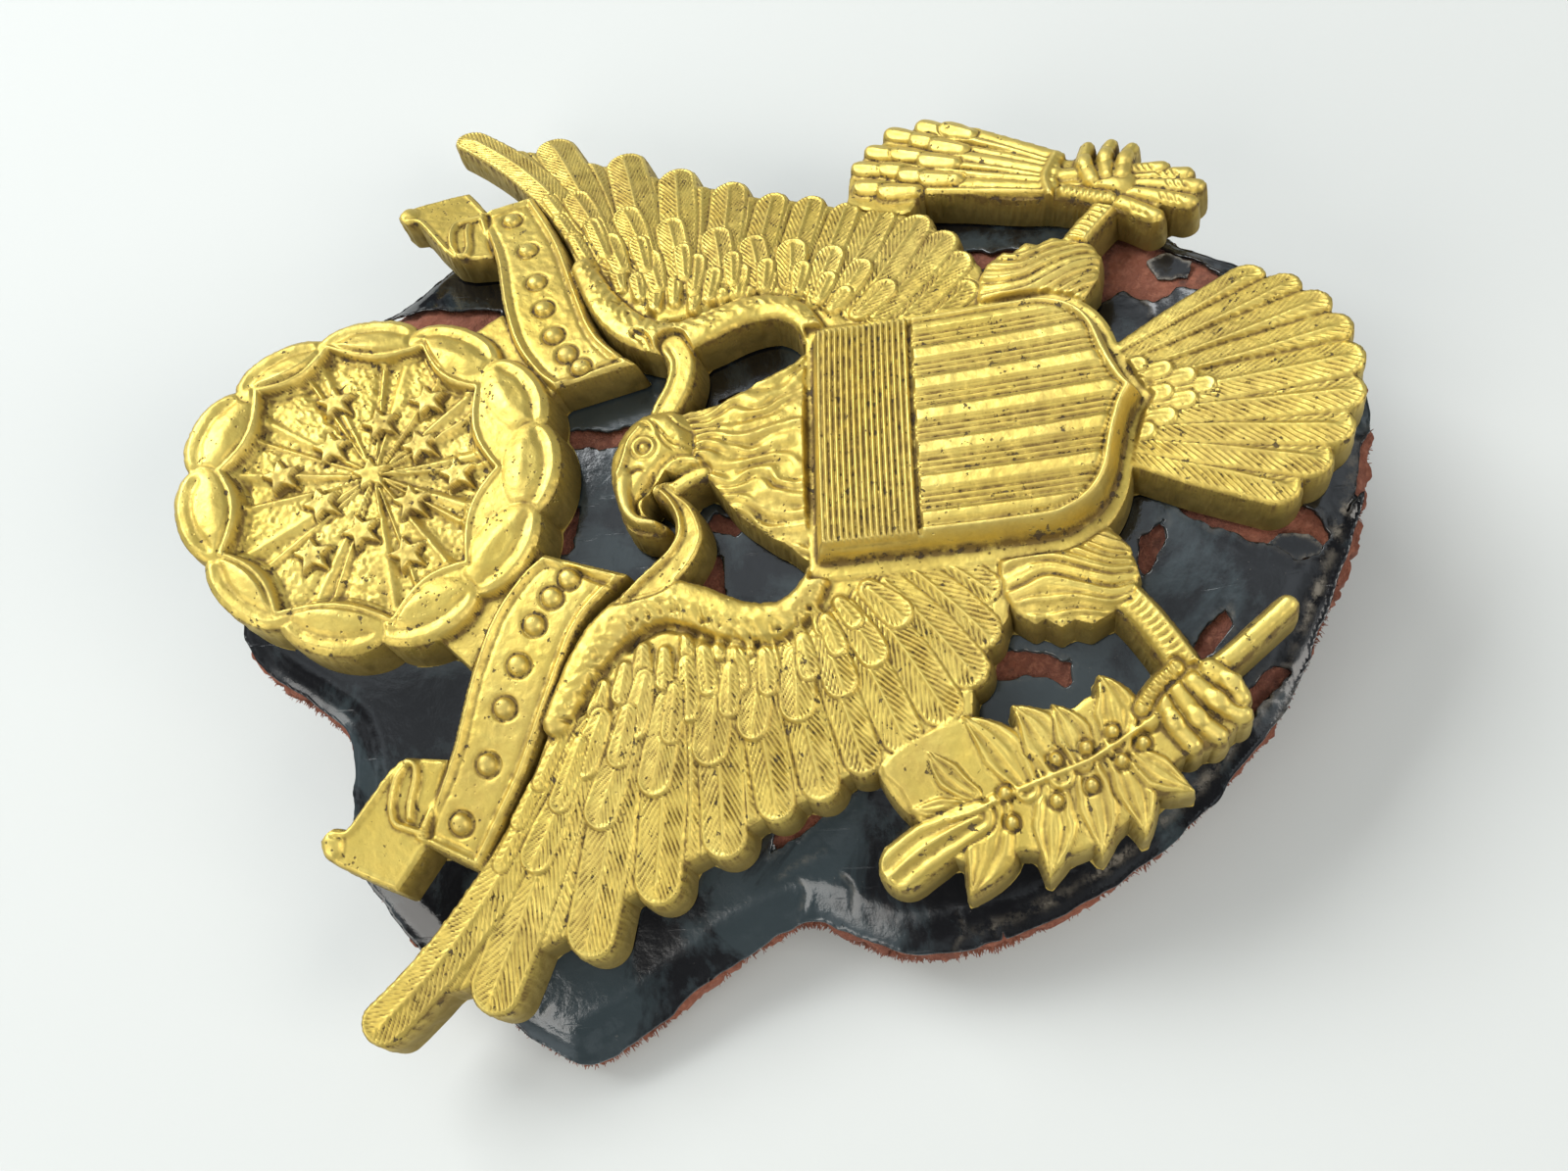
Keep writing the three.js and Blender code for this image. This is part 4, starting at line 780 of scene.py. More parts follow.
# root, tip, width, bow
LEAVES = [
    ([-18.6, -10.8], [-22.4, -9.2], 2.5, 0.1), ([-17.5, -13.2], [-21.8, -12.9], 2.3, 0.12),
    ([-16.9, -14.8], [-21.0, -15.3], 2.1, 0.14), ([-16.2, -16.2], [-20.3, -17.3], 2.1, 0.12),
    ([-16.5, -16.8], [-18.5, -19.5], 1.7, -0.1), ([-18.5, -9.6], [-18.5, -6.6], 1.1, 0.0),
    ([-17.9, -9.7], [-15.8, -7.7], 1.5, 0.12), ([-17.9, -12.2], [-14.4, -9.4], 2.3, -0.16),
    ([-17.4, -13.8], [-14.1, -11.8], 2.4, -0.18), ([-16.9, -14.8], [-14.2, -13.6], 1.9, -0.14),
    ([-16.3, -16.4], [-13.1, -15.8], 2.3, -0.22),
]
KNOB_LEAF = ([-19.0, -9.9], [-21.6, -5.3], 2.3)
STEM = [[-19.0, -8.6], [-18.7, -9.8], [-18.1, -11.3], [-17.4, -13.4], [-16.9, -15.0], [-16.1, -16.6],
        [-15.2, -18.2], [-13.8, -20.2], [-12.6, -22.0], [-11.0, -24.1]]
BERRIES = [[-19.3, -11.4], [-18.5, -13.5], [-16.7, -13.6], [-18.0, -11.2], [-16.3, -15.0], [-17.95, -15.1],
           [-15.7, -16.2], [-17.0, -16.5], [-16.3, -17.5]]


WEB_TOP = 2.14
BRANCH_TOP = 2.3
LEAF_TOP = 2.44
KNOB_LEAF_TOP = 2.48
LEAF_VANE = dict(pointed=True, shaft=-0.08, barbs=0.0, rim=0.04, crown=0.08, strands=0.085, edge_drop=0.08)
KNOB_VANE = dict(shaft=0.08, barbs=0.0, rim=0.04, crown=0.16, bow=-0.1, strands=0.08)
BERRY = 0.58
BERRY_TOP = 2.84


def strike_web(relief):
    """The plain metal between the wing and the branch."""
    relief.polygon(smooth_line(WEB, 40, closed=True), lambda d, x, y: (
        WEB_TOP + 0.01 * noise(x, y, 2.5, 67), 0.008 * noise(x, y, 0.3, 68)))


def strike_branch(relief):
    relief.polygon(smooth_line(BRANCH_BODY, 90, closed=True),
                   lambda d, x, y: BRANCH_TOP + 0.03 * noise(x, y, 1.2, 66))
    for i, (root, tip, width, bow) in enumerate(LEAVES):
        feather(relief, root, tip, width, LEAF_TOP + 0.03 * (i % 3), bow=bow, **LEAF_VANE)
    feather(relief, *KNOB_LEAF, KNOB_LEAF_TOP, **KNOB_VANE)
    stem = smooth_line(STEM, 60)
    ridge(relief, stem[-22:], 1.0, 2.62, 1.95, flat=0.15)
    ridge(relief, stem[:44], 0.3, 2.66, 2.44, joins=False)
    for x, y in BERRIES:
        moat(relief, x, y, 0.38)
        mound(relief, x, y, BERRY, BERRY, BERRY_TOP, 2.6, joins=False)
    mound(relief, -14.4, -19.6, 2.6, 2.0, 2.7, 2.3, angle=-0.9)
    strike_toes(relief, LEFT_TOES)


# ---- the sheaf of arrows, drawn at the viewer's right ----
ARROWS_BODY = [[16.4, -5], [17.4, -4.8], [19.6, -5.0], [21.6, -6.4], [22.6, -8], [22.5, -10.4], [20.8, -12],
               [18.4, -14.8], [17.0, -16.8], [15.6, -19.6], [14.4, -22], [12.6, -23.2], [11.2, -22.9],
               [11.8, -21.5], [10.8, -20.9], [12, -19], [13.6, -16.6], [14.3, -14.4], [15.2, -12],
               [16.0, -9.9], [16.4, -9], [15, -8]]
BAND_AT = [[14.0, -15.9], [15.4, -15.8], [17.1, -16.5]]
SHAFTS = 8
SHAFT_TOPS = [[16.3, -9.4], [22.0, -11.0]]
SHAFT_WAISTS = [[14.3, -16.0], [17.0, -16.6]]
NOCKS = [[10.9, -21.0], [11.3, -22.7], [12.3, -23.2], [13.4, -22.8], [14.3, -21.7]]
ARROW_TIPS = [
    [22.9, -7.0], [23.1, -8.9], [21.3, -5.8], [19.8, -5.0], [17.9, -5.1], [22.3, -10.3], [20.6, -7.3],
    [21.7, -8.5], [19.2, -6.6], [17.1, -6.5], [20.7, -9.6], [18.3, -7.7], [19.4, -8.9], [17.6, -8.9],
]
SHEAF_FOOT = np.array([13.2, -20.4])


SHEAF_TOP = 2.15
SHAFT_TOP = 2.62
ARROW_TOP = 2.62
ARROW_LONG = 2.3
ARROW_VANE = dict(shaft=0.06, barbs=0, rim=0.0, crown=0.34, edge_drop=0.12)


def between(ends, share):
    return np.array(ends[0]) * (1 - share) + np.array(ends[1]) * share


def strike_arrows(relief):
    relief.polygon(smooth_line(ARROWS_BODY, 90, closed=True), SHEAF_TOP)
    waist = between(SHAFT_WAISTS, 0.5)
    for nock in np.array(NOCKS):
        toward = nock + (waist - nock) * 0.9
        ridge(relief, [nock, toward], 1.0, 2.5, 2.0)
        for share in (0.04, 0.1, 0.16):
            x, y = nock + (toward - nock) * share
            groove(relief, [[x - 0.4, y + 0.1], [x, y + 0.35], [x + 0.4, y + 0.4]], 0.08, 0.14)
    for i in range(SHAFTS):
        share = i / (SHAFTS - 1)
        shaft = [between(SHAFT_WAISTS, share), between(SHAFT_TOPS, share)]
        ridge(relief, shaft, 0.55 + 0.3 * (i % 3 == 1), SHAFT_TOP - 0.05 * (i % 2), 2.3)
    for i, tip in enumerate(np.array(ARROW_TIPS)):
        line = (tip - SHEAF_FOOT) / math.hypot(*(tip - SHEAF_FOOT))
        feather(relief, tip - line * ARROW_LONG, tip, 1.45, ARROW_TOP + 0.012 * i, **ARROW_VANE)
    ridge(relief, smooth_line(BAND_AT, 16), 0.5, 2.74, 2.4, joins=False)
    mound(relief, 14.0, -19.2, 2.6, 2.0, 2.8, 2.2, angle=0.9)
    strike_toes(relief, RIGHT_TOES)


# ---- the tail ----
TAIL_FEATHERS = 9
TAIL_ROOT = np.array([0.0, -13.0])
TAIL_WEB = [[3, -17], [3.1, -19.2], [5, -23.5], [0, -26.5], [-5, -23.5], [-3.1, -19.2], [-3, -17]]
TAIL_SCALES = [[-1.9, -19.6], [-0.7, -19.4], [0.6, -19.4], [1.8, -19.6], [-1.3, -20.6], [0, -20.6],
               [1.3, -20.7], [-0.6, -21.6], [0.7, -21.7], [0, -22.5]]


TAIL_REACH = 15.8
TAIL_SPREAD = 0.45
TAIL_TOP = 2.45
TAIL_SCALE_TOP = 2.56
TAIL_VANE = dict(shaft=0.12, barbs=0.065, pitch=0.42, rim=0.03, crown=0.1, slant=1.7, tilt=-0.13)
TAIL_SCALE_VANE = dict(shaft=0.05, barbs=0.02, rim=0.07, joins=False, crown=0.08)


def strike_tail(relief):
    """A fan of long feathers, the middle one on top, under a few small scales."""
    relief.polygon(TAIL_WEB, 1.9)
    for i in sorted(range(TAIL_FEATHERS), key=lambda i: -abs(i - (TAIL_FEATHERS - 1) / 2)):
        share = 2 * i / (TAIL_FEATHERS - 1) - 1
        angle = share * TAIL_SPREAD
        reach = TAIL_REACH - 2.1 * share**2
        tip = TAIL_ROOT + reach * np.array([math.sin(angle), -math.cos(angle)])
        feather(relief, [2.1 * share, -17.4], tip, 2.05, TAIL_TOP - 0.12 * abs(share), **TAIL_VANE)
    for x, y in reversed(TAIL_SCALES):
        feather(relief, [x * 0.9, y + 1.7], [x, y], 1.1, TAIL_SCALE_TOP, **TAIL_SCALE_VANE)


def struck_relief(step):
    relief = Relief(-31, 31, -31, 32.5, step)
    strike_web(relief)
    for strike in (strike_wing, strike_band):
        strike(relief, 1)
        strike(relief, -1)
    strike_glory(relief)
    strike_leg(relief, LEFT_LEG, -1)
    strike_leg(relief, RIGHT_LEG, 1)
    strike_thigh(relief, 1)
    strike_thigh(relief, -1)
    strike_tail(relief)
    strike_head(relief)
    strike_shield(relief)
    strike_branch(relief)
    strike_arrows(relief)
    strike_heel(relief, LEFT_HEEL)
    strike_heel(relief, RIGHT_HEEL)
    return relief


# ---- from height field to mesh ----
CASES = {
    1: [[0, 4, 7]], 2: [[1, 5, 4]], 4: [[2, 6, 5]], 8: [[3, 7, 6]], 3: [[0, 1, 5, 7]], 6: [[1, 2, 6, 4]],
    12: [[2, 3, 7, 5]], 9: [[3, 0, 4, 6]], 5: [[0, 4, 7], [2, 6, 5]], 10: [[1, 5, 4], [3, 7, 6]],
    7: [[0, 1, 2, 6, 7]], 14: [[1, 2, 3, 7, 4]], 13: [[2, 3, 0, 4, 5]], 11: [[3, 0, 1, 5, 6]],
    15: [[0, 1, 2, 3]],
}


AROUND = [(i, j) for i in (-1, 0, 1) for j in (-1, 0, 1) if i or j]


def neighbours(a):
    """The grid shifted to each of the eight sides."""
    p = np.pad(a, 1, mode="edge")
    return [p[1 + i:p.shape[0] - 1 + i, 1 + j:p.shape[1] - 1 + j] for i, j in AROUND]


def softened(a, times=1):
    for _ in range(times):
        p = np.pad(a, 1, mode="edge")
        a = (p[:-2] + 2 * p[1:-1] + p[2:]) / 4
        a = (a[:, :-2] + 2 * a[:, 1:-1] + a[:, 2:]) / 4
    return a


def true_depth(field, step, reach):
    """Distance to the outline, worked inwards from the sign changes of field."""
    inside = field > 0
    near = np.zeros(field.shape, bool)
    for other in neighbours(inside):
        near |= inside & ~other
    far = np.where(inside, 9.0, 0.0)
    depth = np.where(near, np.clip(field, 0.1 * step, step), far)
    reaches = [step * math.hypot(i, j) for i, j in AROUND]
    for _ in range(int(reach / step) + 1):
        for other, apart in zip(neighbours(np.where(inside, depth, 0)), reaches):
            depth = np.where(inside & ~near, np.minimum(depth, other + apart), depth)
    return depth


def spread_outwards(values, inside, times=4):
    """Carries the values inside the outline a few steps out, so that its edge can be read between."""
    values, known = values.copy(), inside.copy()
    for _ in range(times):
        total, count = np.zeros(values.shape), np.zeros(values.shape)
        for v, k in zip(neighbours(values), neighbours(known)):
            total += np.where(k, v, 0)
            count += k
        grow = ~known & (count > 0)
        values[grow] = total[grow] / count[grow]
        known |= grow
    return values


def outline_mesh(field):
    """Faces over the part of a grid where field is above 0, its edge placed between grid points.
    Gives each vertex's place in grid steps, the triangles, and the edge's segments, inside on their left."""
    ny, nx = field.shape
    inside = field > 0
    corner = np.full((ny, nx), -1)
    corner[inside] = np.arange(inside.sum())
    rows, cols = np.nonzero(inside)
    places = [np.stack([cols, rows], 1).astype(float)]
    count = len(rows)
    flat = np.full((ny, nx), -1)
    r, c = np.nonzero(inside[:, :-1] != inside[:, 1:])
    flat[r, c] = count + np.arange(len(r))
    t = field[r, c] / (field[r, c] - field[r, c + 1])
    places.append(np.stack([c + t, r], 1))
    count += len(r)
    upright = np.full((ny, nx), -1)
    r, c = np.nonzero(inside[:-1] != inside[1:])
    upright[r, c] = count + np.arange(len(r))
    t = field[r, c] / (field[r, c] - field[r + 1, c])
    places.append(np.stack([c, r + t], 1))
    first_edge = len(rows)
    code = inside[:-1, :-1] * 1 + inside[:-1, 1:] * 2 + inside[1:, 1:] * 4 + inside[1:, :-1] * 8
    triangles, segments = [], []
    for case, polygons in CASES.items():
        r, c = np.nonzero(code == case)
        if not len(r):
            continue
        ids = {0: corner[r, c], 1: corner[r, c + 1], 2: corner[r + 1, c + 1], 3: corner[r + 1, c],
               4: flat[r, c], 5: upright[r, c + 1], 6: flat[r + 1, c], 7: upright[r, c]}
        for polygon in polygons:
            for k in range(1, len(polygon) - 1):
                triangles.append(np.stack([ids[polygon[0]], ids[polygon[k]], ids[polygon[k + 1]]], 1))
            for a, b in zip(polygon, polygon[1:] + polygon[:1]):
                if a > 3 and b > 3:
                    segments.append(np.stack([ids[a], ids[b]], 1))
    return np.concatenate(places), np.concatenate(triangles), np.concatenate(segments), first_edge


def sampled(grid, places):
    """Values of a grid at places between its points."""
    c = np.clip(places[:, 0], 0, grid.shape[1] - 1.001)
    r = np.clip(places[:, 1], 0, grid.shape[0] - 1.001)
    i, j = r.astype(int), c.astype(int)
    u, v = c - j, r - i
    near = grid[i, j] * (1 - u) + grid[i, j + 1] * u
    far = grid[i + 1, j] * (1 - u) + grid[i + 1, j + 1] * u
    return near * (1 - v) + far * v


def new_object(name, points, faces, attributes=None, normals=None, smooth=True):
    mesh = bpy.data.meshes.new(name)
    mesh.vertices.add(len(points))
    mesh.vertices.foreach_set("co", np.asarray(points, np.float32).ravel())
    size = faces.shape[1]
    mesh.loops.add(faces.size)
    mesh.loops.foreach_set("vertex_index", faces.astype(np.int32).ravel())
    mesh.polygons.add(len(faces))
    mesh.polygons.foreach_set("loop_start", np.arange(0, faces.size, size, dtype=np.int32))
    mesh.polygons.foreach_set("use_smooth", np.full(len(faces), smooth))
    for key, values in (attributes or {}).items():
        layer = mesh.attributes.new(key, "FLOAT", "POINT")
        layer.data.foreach_set("value", np.asarray(values, np.float32))
    mesh.update(calc_edges=True)
    mesh.validate()
    if normals is not None:
        mesh.normals_split_custom_set_from_vertices(normals)
    made = bpy.data.objects.new(name, mesh)
    bpy.context.scene.collection.objects.link(made)
    return made


def vertex_normals(points, faces):
    a, b, c = (points[faces[:, i]] for i in range(3))
    face = np.cross(b - a, c - a)
    total = np.zeros(points.shape)
    for i in range(3):
        for axis in range(3):
            total[:, axis] += np.bincount(faces[:, i], face[:, axis], minlength=len(points))
    return total / np.maximum(np.linalg.norm(total, axis=1, keepdims=True), 1e-15)


def sheet_solid(field, top, xs, ys, bottom, draft, rings, attributes, back_every=4, wall_noise=0.0):
    """Closes a height field down to bottom(x, y): the face, its side wall in rings, and a coarser back.
    Returns the points in metres, the triangles and the attributes."""
    step = xs[1] - xs[0]
    places, triangles, segments, first_edge = outline_mesh(field)
    x = xs[0] + places[:, 0] * step
    y = ys[0] + places[:, 1] * step
    z = sampled(top, places)
    values = {key: sampled(grid, places) for key, grid in attributes.items()}
    slope_y, slope_x = np.gradient(softened(field, 1), step)
    edge = np.arange(first_edge, len(places))
    nx_, ny_ = -sampled(slope_x, places[edge]), -sampled(slope_y, places[edge])
    length = np.maximum(np.hypot(nx_, ny_), 1e-6)
    nx_, ny_ = nx_ / length, ny_ / length
    points = [placed(x, y, z)]
    faces = [triangles]
    out = {key: [v] for key, v in values.items()}
    wall = [np.zeros(len(x))]
    previous = edge
    count = len(x)
    floor = bottom(x[edge], y[edge])
    for k in range(1, rings + 1):
        share = k / rings
        level = z[edge] + (floor - z[edge]) * share
        streaks = wall_noise * noise(x[edge] * 1.7 + y[edge], level * 0.35, 0.22, 71)
        push = draft * share**0.7 + streaks * min(1, 3 * share) * (k < rings)
        points.append(placed(x[edge] + nx_ * push, y[edge] + ny_ * push, level))
        ring = count + np.arange(len(edge))
        count += len(edge)
        for key in out:
            out[key].append(values[key][edge])
        wall.append(np.full(len(edge), min(1.0, share * 2)))
        lookup_up = np.zeros(len(places), int)
        lookup_up[edge] = previous
        lookup_down = np.zeros(len(places), int)
        lookup_down[edge] = ring
        a, b = segments[:, 0], segments[:, 1]
        faces.append(np.stack([lookup_down[a], lookup_down[b], lookup_up[b]], 1))
        faces.append(np.stack([lookup_down[a], lookup_up[b], lookup_up[a]], 1))
        previous = ring
    coarse = (field + draft)[::back_every, ::back_every]
    back_places, back_faces, _, _ = outline_mesh(coarse)
    bx = xs[0] + back_places[:, 0] * step * back_every
    by = ys[0] + back_places[:, 1] * step * back_every
    points.append(placed(bx, by, bottom(bx, by)))
    faces.append(back_faces[:, ::-1] + count)
    for key in out:
        out[key].append(np.zeros(len(bx)))
    wall.append(np.full(len(bx), 0.6))
    result = {key: np.concatenate(v) for key, v in out.items()}
    result["wall"] = np.concatenate(wall)
    return np.concatenate(points), np.concatenate(faces), result


def objects_in_bands(name, points, faces, attributes, cuts):
    """One object for each band of y between the cuts, with the whole mesh's normals, so no seam shows."""
    normals = vertex_normals(points, faces)
    middle = points[faces].mean(1)[:, 1]
    made = []
    edges = [-1e9, *cuts, 1e9]
    for i, (low, high) in enumerate(zip(edges[:-1], edges[1:])):
        keep = faces[(middle >= low) & (middle < high)]
        used, index = np.unique(keep, return_inverse=True)
        part = {key: v[used] for key, v in attributes.items()}
        made.append(new_object(f"{name}_{i + 1}", points[used], index.reshape(-1, 3), part, normals[used]))
    return made


STEP = 0.075
EDGE_ROUND = 0.2
WIDE_PASSES = 24
NARROW_PASSES = 4
STAR_TARNISH = 0.22
WALL_RINGS = 7
WALL_STREAKS = 0.05
PLATE_CUTS = (-10.4, 0.0, 11.6)  # where the mesh is parted into four
relief = struck_relief(STEP)
inside = relief.inside > 0
depth = true_depth(relief.inside, STEP, 1.2)
top = relief.top + 0.012 * noise(relief.x, relief.y, 2.2, 78)
short = np.clip(EDGE_ROUND - depth, 0, EDGE_ROUND)
top = top - (EDGE_ROUND - np.sqrt(EDGE_ROUND**2 - short**2)) * inside
top = softened(spread_outwards(top, inside), 1) + spread_outwards(relief.fine, inside)
top = top + 0.01 * noise(relief.x, relief.y, 0.3, 77)
# places lower than what lies around them gather tarnish, and higher ones are rubbed bright
filled_out = spread_outwards(top, inside, 8)
wide = softened(filled_out, WIDE_PASSES)
narrow = softened(filled_out, NARROW_PASSES)
recess = unit((wide - top) * 3.2) * 0.6 + unit((narrow - top) * 15) * 0.7
worn = unit((top - wide) * 3.0)
for x, y in STARS:
    where = relief.window([[x, y]], 1.6)
    star_depth = polygon_depth(star_outline(x, y, STAR_RADIUS, 0), relief.x[where], relief.y[where])
    recess[where] += STAR_TARNISH * unit(star_depth * 8)
points, faces, looks = sheet_solid(
    relief.inside, top, relief.xs, relief.ys, lambda x, y: 0 * x, WALL_DRAFT, WALL_RINGS,
    {"recess": unit(recess), "worn": worn}, wall_noise=WALL_STREAKS)
cuts = [(y * TO_SIZE + SHIFT[1]) * MM for y in PLATE_CUTS]
plate_pieces = objects_in_bands("struck_plate", points, faces, looks, cuts)

# ---- leather and its black coat ----
LEATHER_OUTLINE = [
    [-9.5, 27.5], [-12.2, 24], [-14, 22.4], [-19, 22.4], [-21.4, 21.2], [-24.6, 18.6], [-27.2, 15.4],
    [-29.4, 11.6], [-28.4, 8.6], [-26, 5], [-24, 1.6], [-23, -1], [-24, -3.4], [-24.8, -6], [-24.5, -9.6],
    [-23.2, -13.4], [-21, -17.4], [-18, -21.2], [-14.6, -24.2], [-10, -26.8], [-6, -28.5], [-2, -29.4],
    [2, -29.1], [6, -27], [8.6, -25], [10.6, -22.6], [13, -20.6], [15.5, -16.4], [18, -12], [19.4, -8.4],
    [18, -4.6], [18.6, -1], [20.6, 3], [22.6, 8], [24, 12.6], [22.6, 16.6], [19.4, 18.8], [16, 20.6],
    [13, 22.6], [10.6, 25.8], [6, 28], [0, 28.6], [-5, 28.6],
]
LIFTED = [  # where the coat has come away and shows the raw leather
    [[-4.0, -19.6], [-4.9, -20.2], [-6.1, -21.9], [-7.2, -23.6], [-8.2, -25.2], [-8.3, -26.2], [-7.4, -26.6],
     [-6.2, -26.2], [-5.2, -25.2], [-4.8, -23.0], [-4.0, -21.0]],
    [[-6.3, -27.6], [-4.6, -28.2], [-2.4, -29.0], [-3.0, -29.6], [-5.2, -28.9]],
    [[7.4, -17.6], [8.6, -17.4], [10.4, -17.8], [12, -18.2], [11.8, -20.4], [10.2, -21.6], [8.8, -23.2],
     [7.4, -24.0], [6.6, -23.0], [7.4, -21.8], [6.8, -20.6], [7.8, -19.2]],
    [[-17.0, -19.6], [-16.0, -19.9], [-14.4, -21.6], [-12.8, -23.6], [-13.2, -24.2], [-14.4, -23.2],
     [-16.4, -21.2]],
    [[-12.4, -20.2], [-11.6, -20.4], [-10.4, -21.4], [-9.9, -22.0], [-10.9, -22.1], [-12.0, -21.2]],
    [[-19.6, 0.6], [-18.6, 0.2], [-17.3, -1.9], [-16.2, -3.6], [-14.8, -5.2], [-15.6, -5.4], [-17.2, -3.6],
     [-18.6, -1.6]],
    [[2.4, 12.8], [3.5, 12.8], [3.5, 7.0], [2.6, 7.0], [2.2, 9.4]],
    [[10.4, 24.6], [11.2, 20.2], [10.2, 16.4], [12.4, 16.2], [12.6, 20.8], [12.3, 23.4]],
    [[10.6, -15.6], [12.2, -9.6], [13.4, -9.8], [12.6, -13.2], [11.6, -16.6]],
    [[-4.6, 12.4], [-3.6, 10.7], [-1.2, 10.3], [-1.6, 12.6]],
    [[-8.4, 3.0], [-7.0, 2.4], [-4.6, 2.6], [-4.8, 3.6], [-7.6, 4.2]],
    [[-3.6, 1.8], [-2.9, 3.6], [-2.2, 3.0], [-3.0, 1.2]],
    [[4.0, 2.6], [4.8, 2.9], [5.9, -1.4], [5.3, -2.2], [4.9, -0.4]],
    [[-12.0, -10.6], [-10.6, -11.8], [-11.6, -14.8], [-12.8, -14.6], [-12.2, -12.6]],
    [[-8.6, -18.2], [-6.2, -18.4], [-4.6, -20.2], [-6.8, -19.4]],
]
CREASES = [
    [[-23.0, -0.4], [-21.6, -1.0], [-20.8, -0.6]], [[-22.8, -3.2], [-21.4, -3.4], [-20.6, -2.6]],
    [[-24.6, -8.0], [-23.4, -8.6], [-22.6, -8.3]], [[-24.0, -10.2], [-22.9, -10.0]],
    [[-12.6, -21.0], [-10.8, -22.0], [-9.8, -22.2]], [[-27.2, 13.2], [-26.4, 12.4]],
    [[-21.0, 0.6], [-20.2, -0.8], [-19.6, -2.4]], [[-17.8, -22.6], [-15.4, -23.6], [-13.4, -25.0]],
    [[7.8, -19.6], [6.6, -20.4], [5.6, -20.2]],
]
HIDDEN = np.array([[-12, 12], [-12, -18], [12, -18], [12, 12]], float)  # always beneath the plate
ROLL_WIDTH = 2.4
ROLL_DROP = 0.85
SEAT_LEVEL = -2.05
SEAT_RADIUS = 10
COAT_MARGIN = 0.2
COAT_THICK = 0.16
PINHOLE_BAND = 1.2
CREASE_WIDTH = 0.13
CREASE_DEEP = 0.04
LEATHER_STEP = 0.15
ground = Relief(-31.5, 27, -31.5, 31, LEATHER_STEP)
gx, gy = ground.x, ground.y
loop = smooth_line(LEATHER_OUTLINE, 220, closed=True)
raw_depth = polygon_depth(loop, gx, gy)
fray = 0.16 * noise(gx, gy, 0.45, 101) + 0.22 * noise(gx, gy, 1.3, 102) + 0.1 * noise(gx, gy, 0.25, 103)
leather_field = raw_depth + fray - 0.15
waves = 0.14 * noise(gx, gy, 8.0, 110) + 0.05 * noise(gx, gy, 3.0, 111)
rolled = -ROLL_DROP * unit(1 - raw_depth / ROLL_WIDTH) ** 2.2
# the sheet lies flat beneath the plate and waves freely away from it
free = unit(-polygon_depth(HIDDEN, gx, gy) / 5)
hide_top = LEATHER_TOP + (waves + 0.06) * free + rolled
hide_top = hide_top + 0.07 * noise(gx, gy, 0.35, 120) + 0.05 * noise(gx, gy, 0.8, 121)
hide_top = np.minimum(hide_top, LEATHER_TOP + 0.12)


def hide_bottom(x, y):
    """The back of the leather, pressed flat in a round seat about the post."""
    base = LEATHER_BOTTOM - 0.25 * unit(1 - polygon_depth(loop, x, y) / ROLL_WIDTH) ** 2
    bx, by = x * TO_SIZE, y * TO_SIZE
    away = np.hypot(bx - POST_X, by - POST_Y)
    pressed = np.where(away < SEAT_RADIUS, np.maximum(base, SEAT_LEVEL - bend_at(bx, by)), base)
    return pressed + 0.04 * noise(x, y, 0.6, 122) * (away > SEAT_RADIUS + 0.5)


points, faces, looks = sheet_solid(
    leather_field, hide_top, ground.xs, ground.ys, hide_bottom, -0.1, 8,
    {"rough": 0.5 + 0.5 * layered_noise(gx, gy, 2.0, 130)}, back_every=3, wall_noise=0.16)
hide = new_object("leather_hide", points, faces, looks)

coat_field = raw_depth - COAT_MARGIN - 0.2 * noise(gx, gy, 3.4, 140) - 0.12 * noise(gx, gy, 0.8, 141)
ragged = 0.2 * noise(gx, gy, 0.9, 150) + 0.1 * noise(gx, gy, 0.35, 151)
lifted_depth = np.full(gx.shape, -9.0)
for patch in LIFTED:
    lifted_depth = np.maximum(lifted_depth, polygon_depth(np.array(patch, float), gx, gy) + ragged)
coat_field = np.minimum(coat_field, -lifted_depth)
pinholes = unit(noise(gx, gy, 0.55, 160) - 0.86) * 4 * unit(PINHOLE_BAND - raw_depth)
coat_field = np.where(pinholes > 0.1, np.minimum(coat_field, -0.05), coat_field)
curl = 0.07 * unit(1 + lifted_depth / 0.8) ** 2
coat_top = COAT_TOP + (waves + 0.06) * free + rolled + 0.15 * unit(1 - raw_depth / 1.2)
coat_top = np.minimum(coat_top + curl * free, COAT_TOP + 0.1 + 0.25 * free)
crease_mark = np.zeros(gx.shape)
for crease in CREASES:
    where, along, _, away, length = ground.near_line(smooth_line(crease, 16), 1.0)
    ends = unit(np.minimum(along, length - along) / 0.5)
    coat_top[where] -= CREASE_DEEP * bump(away, CREASE_WIDTH) * ends
    crease_mark[where] = np.maximum(crease_mark[where], bump(away, CREASE_WIDTH) * ends)
# the coat is rubbed pale along its lower left edge, in the creases and round the lifted patches
edge_scuff = bump(raw_depth - 0.95, 0.22) * (0.5 + 0.5 * noise(gx, gy, 1.1, 170))
edge_scuff = edge_scuff * unit((-gy - 8) / 6) * (gx < 2)
scuff = unit(edge_scuff + 0.25 * crease_mark + 0.12 * bump(lifted_depth + 0.12, 0.1))
coat_inside = coat_field > 0
coat_top = spread_outwards(np.where(coat_inside, coat_top, 0), coat_inside, 6)


def coat_bottom(x, y):
    i = np.clip(((y - ground.ys[0]) / LEATHER_STEP).astype(int), 0, gx.shape[0] - 1)
    j = np.clip(((x - ground.xs[0]) / LEATHER_STEP).astype(int), 0, gx.shape[1] - 1)
    return coat_top[i, j] - COAT_THICK


points, faces, looks = sheet_solid(
    coat_field, coat_top, ground.xs, ground.ys, coat_bottom, 0.02, 2,
    {"scuff": scuff}, back_every=2)
coat = new_object("patent_film", points, faces, looks)

